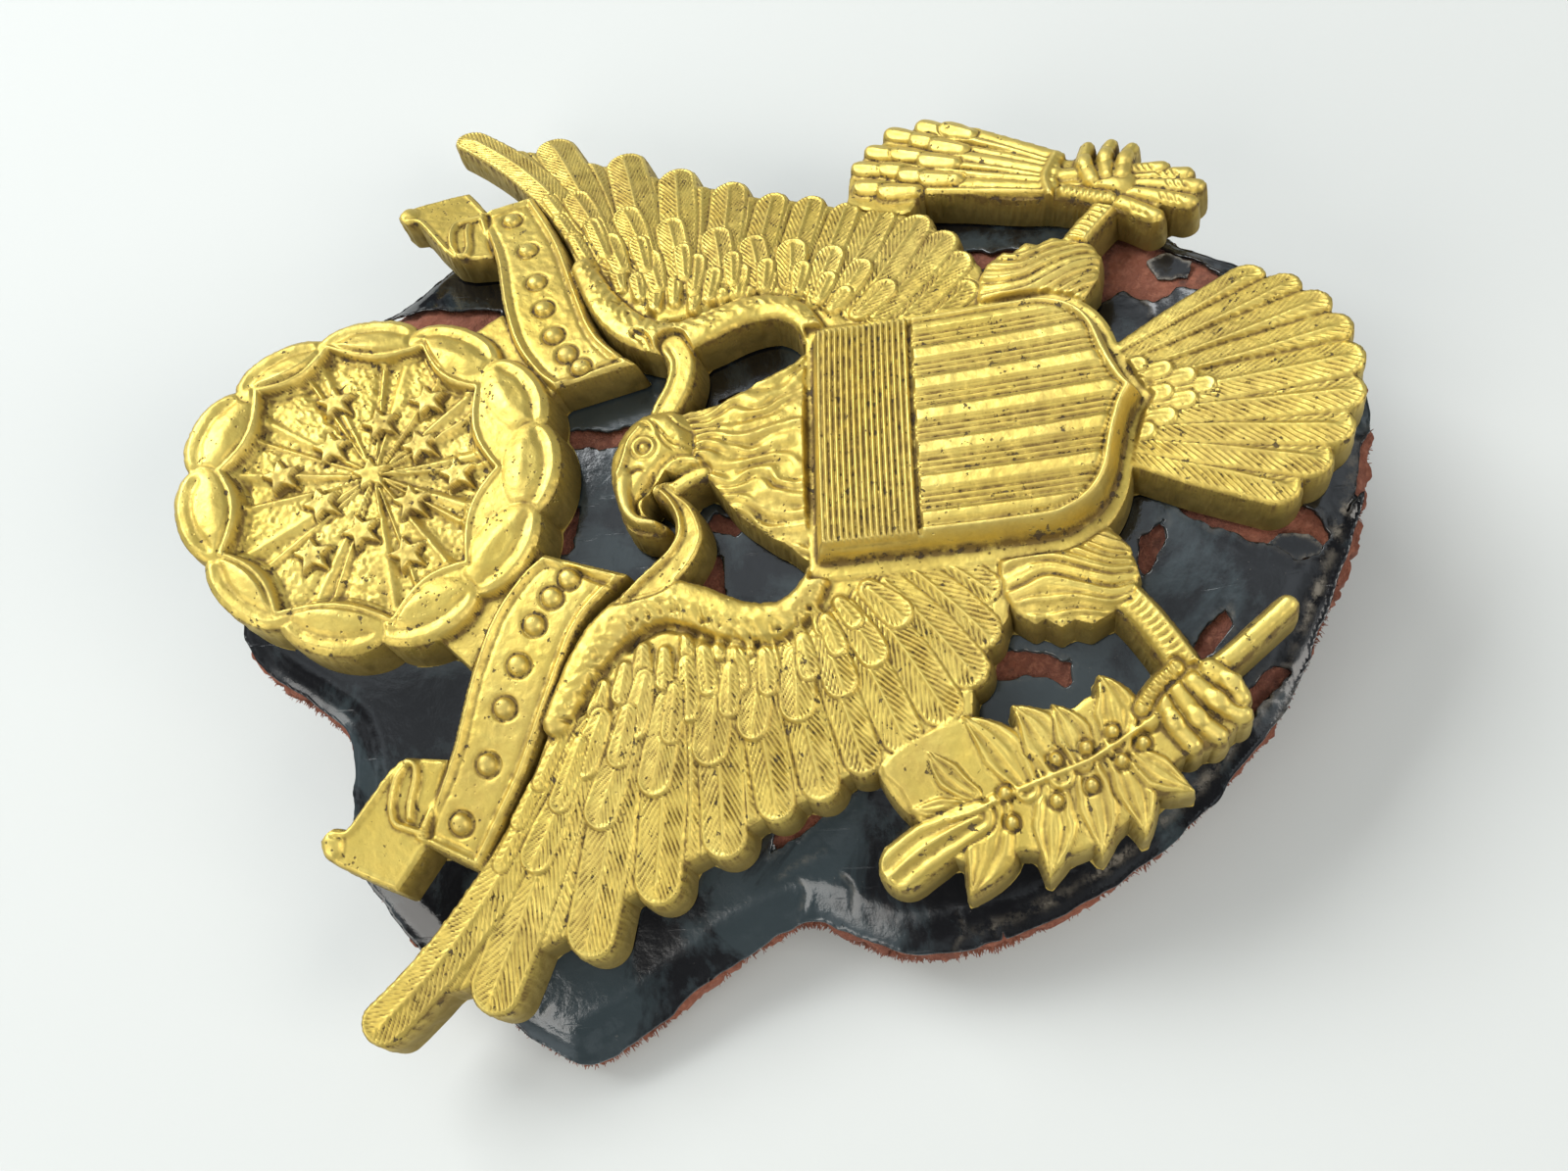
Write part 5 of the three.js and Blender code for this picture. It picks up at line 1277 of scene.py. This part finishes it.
# loose flakes of the coat, curled up at one side
FLAKES = {
    "coat_flake_by_tail": [[-8, -26.6], [-8.3, -25.2], [-7.4, -24], [-6.9, -24.6], [-7.2, -25.8]],
    "coat_flake_by_arrows": [[8, -22.4], [8.4, -21], [9.6, -20.6], [9.9, -21.6], [9, -22.8]],
}
flake_pieces = {}
for name, outline in FLAKES.items():
    outline = np.array(outline, float)
    low, high = outline.min(0) - 0.4, outline.max(0) + 0.4
    chip = Relief(low[0], high[0], low[1], high[1], 0.06)
    field = polygon_depth(outline, chip.x, chip.y) + 0.1 * noise(chip.x, chip.y, 0.4, 180)
    away = (chip.x - low[0]) / (high[0] - low[0])
    height = COAT_TOP + 0.28 * away**2 - 0.08
    points, faces, looks = sheet_solid(
        field, height, chip.xs, chip.ys, lambda x, y: COAT_TOP - 0.18 + 0 * x, 0.0, 2,
        {"scuff": bump(field - 0.05, 0.12) * 0.7})
    flake_pieces[name] = new_object(name.replace("coat_flake", "film_chip"), points, faces, looks)

# ---- loose fibres on the raw edge ----
rng = np.random.default_rng(7)
FIBRES = 7000
pick = rng.random(FIBRES) * (len(loop) - 1)
i = pick.astype(int)
u = (pick - i)[:, None]
at = loop[i] * (1 - u) + loop[(i + 1) % len(loop)] * u
tangent = loop[(i + 1) % len(loop)] - loop[i]
tangent /= np.maximum(np.linalg.norm(tangent, axis=1, keepdims=True), 1e-9)
outward = np.stack([tangent[:, 1], -tangent[:, 0]], 1)
middle = loop.mean(0)
flip = np.sign(((at - middle) * outward).sum(1, keepdims=True))
outward *= flip
clump = 0.5 + 0.5 * noise(at[:, 0], at[:, 1], 1.5, 190)
reach = (0.02 + 0.2 * rng.random(FIBRES) ** 2) * (0.3 + clump)
start = at - outward * (0.35 + 0.2 * rng.random((FIBRES, 1)))
level = -1.1 - 1.1 * rng.random(FIBRES)
swing = (rng.random(FIBRES) - 0.5)[:, None] * 1.3
tip = start + (outward + tangent * swing) * (reach + 0.3)[:, None]
tip_level = level + (rng.random(FIBRES) - 0.6) * 0.35
broad = tangent * (0.03 + 0.06 * rng.random((FIBRES, 1)))
corners = [placed(*(start - broad).T, level), placed(*(start + broad).T, level),
           placed(*(tip + broad * 0.25).T, tip_level), placed(*(tip - broad * 0.25).T, tip_level)]
points = np.stack(corners, 1).reshape(-1, 3)
faces = np.arange(FIBRES * 4).reshape(-1, 4)
fibres = new_object("leather_fibres", points, faces, {"rough": np.repeat(rng.random(FIBRES), 4),
                                                      "wall": np.ones(FIBRES * 4)}, smooth=False)


# ---- turned fittings ----
ON_AXIS = 0.001
KNURL_DEPTH = 0.3
THREAD_STEP = 0.07
PIN_SINK = 0.3


def turned(name, section, turns, shape=None, centre=(POST_X, POST_Y), closed=True):
    """A ring or rod turned round an upright axis. shape(radius, z, angle) gives each point's true radius."""
    section = np.array(section, float)
    angle = np.linspace(0, 2 * math.pi, turns, endpoint=False)
    radius, z = section[:, :1] + 0 * angle, section[:, 1:] + 0 * angle
    if shape:
        radius = shape(radius, z, angle[None, :] + 0 * radius)
    x = centre[0] + radius * np.cos(angle)
    y = centre[1] + radius * np.sin(angle)
    points = ((np.stack([x, y, z], -1) + SHIFT) * MM).reshape(-1, 3)
    rows = len(section)
    here = np.arange(turns)
    following = np.roll(here, -1)
    faces = []
    for r in range(rows if closed else rows - 1):
        low, high = r * turns, (r + 1) % rows * turns
        faces.append(np.stack([low + here, low + following, high + following, high + here], 1))
    made = new_object(name, points, np.concatenate(faces))
    made.data.set_sharp_from_angle(angle=math.radians(38))
    return made


def filled(section, spacing):
    """Adds points along a section so that no step is longer than spacing."""
    out = []
    section = np.array(section, float)
    for a, b in zip(section, np.roll(section, -1, 0)):
        count = max(1, int(math.ceil(np.hypot(*(b - a)) / spacing)))
        out.extend(a + (b - a) * k / count for k in range(count))
    return np.array(out)


def knurled(radius, z, angle):
    on_rim = unit((radius - NUT_RADIUS + 0.75) / 0.35) * unit((NUT_KNURL_TOP - 0.1 - z) / 0.3)
    on_rim = on_rim * unit((z - NUT_BOTTOM - 0.1) / 0.3)
    tooth = np.abs(np.sin(angle * NUT_KNURLS * 1.5))
    return radius - KNURL_DEPTH * on_rim * (1 - tooth) ** 1.5


def nut_section():
    low, knurl_top, high = NUT_BOTTOM, NUT_KNURL_TOP, NUT_TOP
    rim, neck, bore = NUT_RADIUS, NUT_SHOULDER_RADIUS, NUT_BORE
    return filled([
        [bore, low + 0.5], [bore + 0.2, low + 0.45], [3.1, low + 0.45], [3.3, low + 0.1], [3.45, low],
        [rim - 0.5, low], [rim - 0.12, low + 0.12], [rim, low + 0.5], [rim, knurl_top - 0.5],
        [rim - 0.12, knurl_top - 0.12], [rim - 0.5, knurl_top], [neck + 0.3, knurl_top],
        [neck, knurl_top + 0.3], [neck, high - 0.2], [neck - 0.2, high], [bore + 0.2, high],
        [bore, high - 0.2],
    ], 0.35)


def washer_section():
    low, high, rim, bore = WASHER_BOTTOM, WASHER_TOP, WASHER_RADIUS, WASHER_BORE
    return filled([
        [bore, low + 0.06], [bore + 0.06, low], [rim - 0.15, low], [rim, low + 0.15], [rim, high - 0.1],
        [rim - 0.1, high], [bore + 0.06, high], [bore, high - 0.06],
    ], 0.5)


def threaded(radius, z, angle):
    turn = (z / THREAD_PITCH - angle / (2 * math.pi)) % 1
    crest = unit(1.3 - np.abs(turn - 0.5) * 3.6)
    cut = (radius > POST_RADIUS - 0.03) & (radius < POST_RADIUS + 0.01) & (z < POST_FLANGE_BOTTOM - 0.7)
    return radius - THREAD_DEPTH * 1.3 * (1 - crest) * cut


def post_section():
    rim, flange, low, high = POST_RADIUS, POST_FLANGE_RADIUS, POST_FLANGE_BOTTOM, POST_FLANGE_TOP
    tip = [[ON_AXIS, POST_TIP], [rim - 0.45, POST_TIP], [rim - 0.25, POST_TIP + 0.08]]
    thread = [[rim, level] for level in np.arange(POST_TIP + 0.3, low - 0.3, THREAD_STEP)]
    head = [[rim, low - 0.2], [rim + 0.3, low], [flange - 0.3, low], [flange, low + 0.3], [flange, high]]
    return tip + thread + head + [[ON_AXIS, high]]


def pin_section():
    rim, low, high = PIN_RADIUS, PIN_BOTTOM, bend_at(PIN_X, PIN_Y) - PIN_SINK
    return [[ON_AXIS, low], [rim - 0.35, low + 0.04], [rim - 0.12, low + 0.22], [rim, low + 0.5],
            [rim, -3.0], [rim + 0.02, high - 0.3], [rim, high], [ON_AXIS, high]]


nut = turned("thumb_nut_turned", nut_section(), 216, knurled)
washer = turned("back_washer_pressed", washer_section(), 96)
post = turned("screw_post_threaded", post_section(), 72, threaded, closed=False)
pin_pieces = {}
for name, side in (("locating_pin_left", -1), ("locating_pin_right", 1)):
    centre = (side * PIN_X, PIN_Y)
    pin_pieces[name] = turned(name + "_rod", pin_section(), 40, centre=centre, closed=False)


# ---- materials ----
class Nodes:
    """Short names for building the node tree of a material or a world."""

    def __init__(self, owner, shader="Principled BSDF", place="Object"):
        self.owner = owner
        owner.use_nodes = True
        self.tree = owner.node_tree
        self.shader = self.tree.nodes[shader]
        self.place = self.new("ShaderNodeTexCoord").outputs[place]

    def new(self, kind, **settings):
        node = self.tree.nodes.new(kind)
        for key, value in settings.items():
            setattr(node, key, value)
        return node

    def link(self, a, b):
        self.tree.links.new(a, b)

    def noise(self, scale, detail=4.0, rough=0.55, distortion=0.0):
        node = self.new("ShaderNodeTexNoise")
        self.link(self.place, node.inputs["Vector"])
        node.inputs["Scale"].default_value = scale
        node.inputs["Detail"].default_value = detail
        node.inputs["Roughness"].default_value = rough
        node.inputs["Distortion"].default_value = distortion
        return node.outputs["Fac"]

    def cells(self, scale):
        node = self.new("ShaderNodeTexVoronoi", feature="F1")
        self.link(self.place, node.inputs["Vector"])
        node.inputs["Scale"].default_value = scale
        return node.outputs["Distance"]

    def attribute(self, name):
        return self.new("ShaderNodeAttribute", attribute_name=name).outputs["Fac"]

    def math(self, operation, a, b, clamp=False):
        node = self.new("ShaderNodeMath", operation=operation, use_clamp=clamp)
        for socket, value in zip(node.inputs, (a, b)):
            if isinstance(value, (int, float)):
                socket.default_value = value
            else:
                self.link(value, socket)
        return node.outputs[0]

    def times(self, a, b, clamp=False):
        return self.math("MULTIPLY", a, b, clamp)

    def plus(self, a, b, clamp=False):
        return self.math("ADD", a, b, clamp)

    def ranged(self, value, low, high, to_low=0.0, to_high=1.0):
        node = self.new("ShaderNodeMapRange", clamp=True)
        self.link(value, node.inputs["Value"])
        for socket, number in zip(("From Min", "From Max", "To Min", "To Max"), (low, high, to_low, to_high)):
            node.inputs[socket].default_value = number
        return node.outputs["Result"]

    def mix(self, share, a, b):
        node = self.new("ShaderNodeMix", data_type="RGBA")
        self.link(share, node.inputs["Factor"])
        for socket, value in ((node.inputs[6], a), (node.inputs[7], b)):
            if isinstance(value, tuple):
                socket.default_value = (*value, 1)
            else:
                self.link(value, socket)
        return node.outputs[2]

    def bump(self, height, distance, strength=1.0, onto=None):
        node = self.new("ShaderNodeBump")
        node.inputs["Distance"].default_value = distance
        node.inputs["Strength"].default_value = strength
        self.link(height, node.inputs["Height"])
        if onto is not None:
            self.link(onto, node.inputs["Normal"])
        return node.outputs["Normal"]

    def set(self, socket, value):
        if isinstance(value, (int, float)):
            self.shader.inputs[socket].default_value = value
        elif isinstance(value, tuple):
            self.shader.inputs[socket].default_value = (*value, 1)
        else:
            self.link(value, self.shader.inputs[socket])


GOLD = (0.61, 0.455, 0.10)
GOLD_PALE = (0.70, 0.545, 0.145)
GOLD_DEEP = (0.50, 0.355, 0.075)
GOLD_RUBBED = (0.84, 0.70, 0.26)
GOLD_STAIN = (0.40, 0.285, 0.085)
# painted reflection: the dark olive the plate's side walls are given for the dark they reflect
PAINTED_WALL_SHADE_DARK = (0.22, 0.165, 0.058)
PAINTED_WALL_SHADE = (0.33, 0.255, 0.09)
TARNISH = (0.14, 0.082, 0.022)
PIT = (0.05, 0.03, 0.014)
BRASS = (0.47, 0.34, 0.13)
BRASS_BROWN = (0.30, 0.21, 0.085)
BRASS_STAIN = (0.11, 0.075, 0.03)
HIDE_RED = (0.27, 0.085, 0.045)
HIDE_BROWN = (0.13, 0.042, 0.026)
HIDE_FIBRE = (0.42, 0.17, 0.10)
HIDE_SOIL = (0.05, 0.024, 0.018)
HIDE_SHEEN = (0.8, 0.42, 0.32)
FILM_BLACK = (0.006, 0.006, 0.007)
FILM_BLOOM = (0.030, 0.040, 0.044)
FILM_SCUFF = (0.32, 0.27, 0.20)
FILM_DUST = (0.22, 0.20, 0.17)
PAPER_LIGHT = (0.565, 0.572, 0.548)
PAPER_DARK = (0.545, 0.55, 0.528)
WALL_COLOUR = (1.25, 1.30, 1.30)


def gilt_material():
    n = Nodes(bpy.data.materials.new("gilt_brass_struck"))
    worn, wall = n.attribute("worn"), n.attribute("wall")
    on_face = n.math("SUBTRACT", 1.0, wall, clamp=True)
    recess = n.times(n.attribute("recess"), n.math("MAXIMUM", on_face, 0.2))
    broad = n.noise(140, 3)
    fine = n.noise(1500, 4, 0.65)
    spots = n.noise(1700, 4, 0.65)
    gold = n.mix(n.ranged(broad, 0.35, 0.65), GOLD, GOLD_PALE)
    gold = n.mix(n.ranged(fine, 0.35, 0.75, 0, 0.35), gold, GOLD_DEEP)
    gold = n.mix(n.times(worn, 0.5), gold, GOLD_RUBBED)
    stain = n.times(n.ranged(n.noise(260, 5, 0.62), 0.46, 0.7), n.ranged(fine, 0.3, 0.6, 0.35, 1.0))
    gold = n.mix(n.times(stain, 0.6), gold, GOLD_STAIN)
    # painted reflection and shade: the side walls are coloured dark olive, not shown as lit gilt
    painted_wall_shade = n.mix(n.ranged(n.noise(420, 4), 0.35, 0.7), PAINTED_WALL_SHADE_DARK, PAINTED_WALL_SHADE)
    colour = n.mix(n.times(wall, 0.85), gold, painted_wall_shade)
    # tarnish collects in the recesses, broken up by the fine noise
    broken = n.times(recess, n.ranged(fine, 0.3, 0.62, 0.25, 1.25), clamp=True)
    colour = n.mix(n.ranged(broken, 0.08, 0.8, 0, 0.88), colour, TARNISH)
    # small pores, gathered in patches and beside the recesses, and none on the cut edge
    patches = n.plus(n.noise(380, 3), n.times(recess, 0.16))
    pores = n.times(n.ranged(n.cells(2600), 0.1, 0.22, 0.85, 0.0), n.ranged(patches, 0.53, 0.63))
    pits = n.math("MAXIMUM", pores, n.ranged(n.plus(spots, n.times(recess, 0.1)), 0.66, 0.7))
    pits = n.times(pits, on_face, clamp=True)
    n.set("Base Color", n.mix(n.times(pits, 0.9), colour, PIT))
    dull = n.math("MAXIMUM", n.times(pits, 0.85), n.times(broken, 0.45), clamp=True)
    n.set("Metallic", n.math("SUBTRACT", 0.97, dull, clamp=True))
    rough = n.plus(n.ranged(fine, 0.3, 0.75, 0.43, 0.58), n.times(stain, 0.08))
    rough = n.plus(rough, n.times(wall, 0.14))
    n.set("Roughness", n.plus(rough, n.times(dull, 0.3), clamp=True))
    normal = n.bump(n.noise(2600, 3, 0.6), 0.000035, 0.8)
    normal = n.bump(n.noise(800, 4, 0.6), 0.00005, 0.8, normal)
    n.set("Normal", n.bump(n.times(pits, -1), 0.00006, 1.0, normal))
    return n.owner


def plain_brass_material():
    n = Nodes(bpy.data.materials.new("plain_brass_turned"))
    broad = n.noise(180, 4)
    fine = n.noise(1300, 5, 0.65)
    colour = n.mix(n.ranged(broad, 0.35, 0.68), BRASS, BRASS_BROWN)
    n.set("Base Color", n.mix(n.ranged(fine, 0.56, 0.72, 0, 0.75), colour, BRASS_STAIN))
    n.set("Metallic", n.ranged(fine, 0.55, 0.75, 1.0, 0.55))
    n.set("Roughness", n.ranged(broad, 0.3, 0.7, 0.33, 0.52))
    n.set("Normal", n.bump(fine, 0.00005, 0.8, n.bump(n.noise(4000, 2), 0.00002, 0.5)))
    return n.owner


def leather_material():
    n = Nodes(bpy.data.materials.new("raw_leather"))
    fibre = n.noise(2600, 6, 0.7, 0.6)
    colour = n.mix(n.ranged(n.noise(220, 5, 0.6), 0.32, 0.68), HIDE_RED, HIDE_BROWN)
    colour = n.mix(n.ranged(fibre, 0.48, 0.7, 0, 0.6), colour, HIDE_FIBRE)
    n.set("Base Color", n.mix(n.ranged(n.noise(600, 4), 0.6, 0.74, 0, 0.85), colour, HIDE_SOIL))
    n.set("Roughness", 0.93)
    n.set("Sheen Weight", 0.12)
    n.set("Sheen Roughness", 0.5)
    n.set("Sheen Tint", HIDE_SHEEN)
    n.set("Normal", n.bump(fibre, 0.00018, 1.0, n.bump(n.noise(800, 5, 0.65), 0.00022, 1.0)))
    return n.owner


def film_material():
    n = Nodes(bpy.data.materials.new("patent_coat_black"))
    bloom = n.ranged(n.noise(120, 6, 0.66, 0.5), 0.47, 0.56)
    colour = n.mix(bloom, FILM_BLACK, FILM_BLOOM)
    grime = n.ranged(n.noise(1400, 5, 0.7), 0.42, 0.62)
    pale = n.times(n.attribute("scuff"), grime, clamp=True)
    colour = n.mix(n.times(pale, 0.75), colour, FILM_SCUFF)
    dust = n.ranged(n.noise(2400, 3, 0.8), 0.70, 0.76)
    n.set("Base Color", n.mix(n.times(dust, 0.35), colour, FILM_DUST))
    # scratches: thin bands of stretched noise
    stretched = n.new("ShaderNodeMapping")
    stretched.inputs["Rotation"].default_value = (0, 0, 0.7)
    stretched.inputs["Scale"].default_value = (3800, 260, 900)
    n.link(n.place, stretched.inputs["Vector"])
    streak = n.new("ShaderNodeTexNoise")
    streak.inputs["Scale"].default_value = 1.0
    streak.inputs["Detail"].default_value = 3.0
    n.link(stretched.outputs["Vector"], streak.inputs["Vector"])
    scratch = n.ranged(streak.outputs["Fac"], 0.68, 0.76)
    rough = n.plus(n.ranged(n.noise(95, 4, 0.6), 0.38, 0.66, 0.07, 0.2), n.times(scratch, 0.22))
    n.set("Roughness", n.plus(rough, n.times(pale, 0.5), clamp=True))
    n.set("Specular IOR Level", 0.5)
    normal = n.bump(n.noise(240, 3, 0.5), 0.00014, 0.5)
    normal = n.bump(n.noise(1900, 4, 0.6), 0.000025, 0.5, normal)
    n.set("Normal", n.bump(n.times(scratch, -1), 0.00001, 0.6, normal))
    return n.owner


gilt = gilt_material()
brass = plain_brass_material()
raw_leather = leather_material()
film = film_material()


def finish_piece(piece, material, body, slot, *nodes):
    piece.data.materials.clear()
    piece.data.materials.append(material)
    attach(piece, body)
    if nodes:
        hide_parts(*nodes)


for piece in plate_pieces:
    finish_piece(piece, gilt, "badge", "gilt_brass", "eagle_plate")
finish_piece(hide, raw_leather, "badge", "leather", "leather_backing")
finish_piece(fibres, raw_leather, "badge", "leather")
finish_piece(coat, film, "badge", "patent_coat", "patent_coat")
for name, piece in flake_pieces.items():
    finish_piece(piece, film, "badge", "patent_coat", name)
for name, piece in pin_pieces.items():
    finish_piece(piece, brass, "badge", "plain_brass", name)
finish_piece(post, brass, "badge", "plain_brass", "screw_post")
finish_piece(washer, brass, "washer", "plain_brass", "back_washer")
finish_piece(nut, brass, "nut", "plain_brass", "thumb_nut")

# ---- floor, light and camera ----
FLOOR = 1.6  # metres from the middle to each side
FLOOR_GAP = 0.0002
floor_mesh = bpy.data.meshes.new("floor")
floor_corners = [(-FLOOR, -FLOOR, 0), (FLOOR, -FLOOR, 0), (FLOOR, FLOOR, 0), (-FLOOR, FLOOR, 0)]
floor_mesh.from_pydata(floor_corners, [], [(0, 1, 2, 3)])
floor = bpy.data.objects.new("floor", floor_mesh)
bpy.context.scene.collection.objects.link(floor)
floor.location.z = cad_bounds[0][2] - FLOOR_GAP
paper = Nodes(bpy.data.materials.new("paper"))
paper.set("Base Color", paper.mix(paper.ranged(paper.noise(6, 3), 0.35, 0.65), PAPER_LIGHT, PAPER_DARK))
paper.set("Roughness", 0.85)
paper.set("Normal", paper.bump(paper.noise(900, 4), 0.00004, 0.35))
floor.data.materials.append(paper.owner)

bpy.context.scene.view_settings.view_transform = "Standard"
# the room: pale overall and brightest overhead, with the darker shapes that a gloss surface picks up
TOWARDS_GLOW = (0.22, -0.02, 0.975)
ROOM_DARK = (0.10, 0.105, 0.11, 1)
ROOM_MIDDLE = (0.62, 0.67, 0.70, 1)
ROOM_BRIGHT = (1.9, 2.1, 2.25, 1)
ROOM_STRENGTH = 0.6
world = bpy.data.worlds.new("studio")
bpy.context.scene.world = world
room = Nodes(world, "Background", "Generated")
overhead = room.new("ShaderNodeVectorMath", operation="DOT_PRODUCT")
overhead.inputs[1].default_value = TOWARDS_GLOW
room.link(room.place, overhead.inputs[0])
glow = room.ranged(overhead.outputs["Value"], 0.80, 0.98, -0.06, 0.10)
ramp = room.new("ShaderNodeValToRGB")
ramp.color_ramp.elements[0].position = 0.40
ramp.color_ramp.elements[0].color = ROOM_DARK
ramp.color_ramp.elements[1].position = 0.62
ramp.color_ramp.elements[1].color = ROOM_BRIGHT
ramp.color_ramp.elements.new(0.48).color = ROOM_MIDDLE
room.link(room.plus(room.noise(3.2, 3.0, 0.5), glow), ramp.inputs["Fac"])
# seen directly it is a plain pale wall
seen = room.new("ShaderNodeLightPath").outputs["Is Camera Ray"]
room.set("Color", room.mix(seen, ramp.outputs["Color"], WALL_COLOUR))
room.set("Strength", ROOM_STRENGTH)


AIM = Vector((0, 0, 0.01))


def soft_light(name, place, size, power, colour):
    light = bpy.data.lights.new(name, "AREA")
    light.shape = "RECTANGLE"
    light.size, light.size_y = size
    light.energy = power
    light.color = colour
    lamp = bpy.data.objects.new(name, light)
    bpy.context.scene.collection.objects.link(lamp)
    lamp.location = place
    lamp.rotation_euler = (AIM - Vector(place)).to_track_quat("-Z", "Y").to_euler()


soft_light("window", (0.26, 0.32, 0.44), (0.40, 0.30), 3.95, (0.95, 0.98, 1.0))
soft_light("fill", (-0.42, 0.30, 0.36), (0.30, 0.30), 1.3, (1.0, 0.97, 0.92))
soft_light("front", (-0.20, -0.42, 0.30), (0.30, 0.24), 1.35, (1.0, 0.96, 0.90))

# where the eye stands, from the plate's own middle, and the way it looks
EYE = np.array([-30.849, -12.302, 59.482]) * TO_SIZE
LOOK = Vector((0.37094, 0.17616, -0.91179))
UP = Vector((0.92861, -0.08014, 0.36230))
SENSOR_WIDTH = 36.0
FOCAL_LENGTH = 29.25
CLIP_NEAR = 0.002
camera_data = bpy.data.cameras.new("camera")
camera_data.sensor_width = SENSOR_WIDTH
camera_data.lens = FOCAL_LENGTH
camera_data.clip_start = CLIP_NEAR
camera = bpy.data.objects.new("camera", camera_data)
bpy.context.scene.collection.objects.link(camera)
right = LOOK.cross(UP).normalized()
up = right.cross(LOOK).normalized()
turn = Matrix((right, up, -LOOK.normalized())).transposed()
camera.matrix_world = Matrix.Translation(Vector((EYE + SHIFT) * MM)) @ turn.to_4x4()
bpy.context.scene.camera = camera
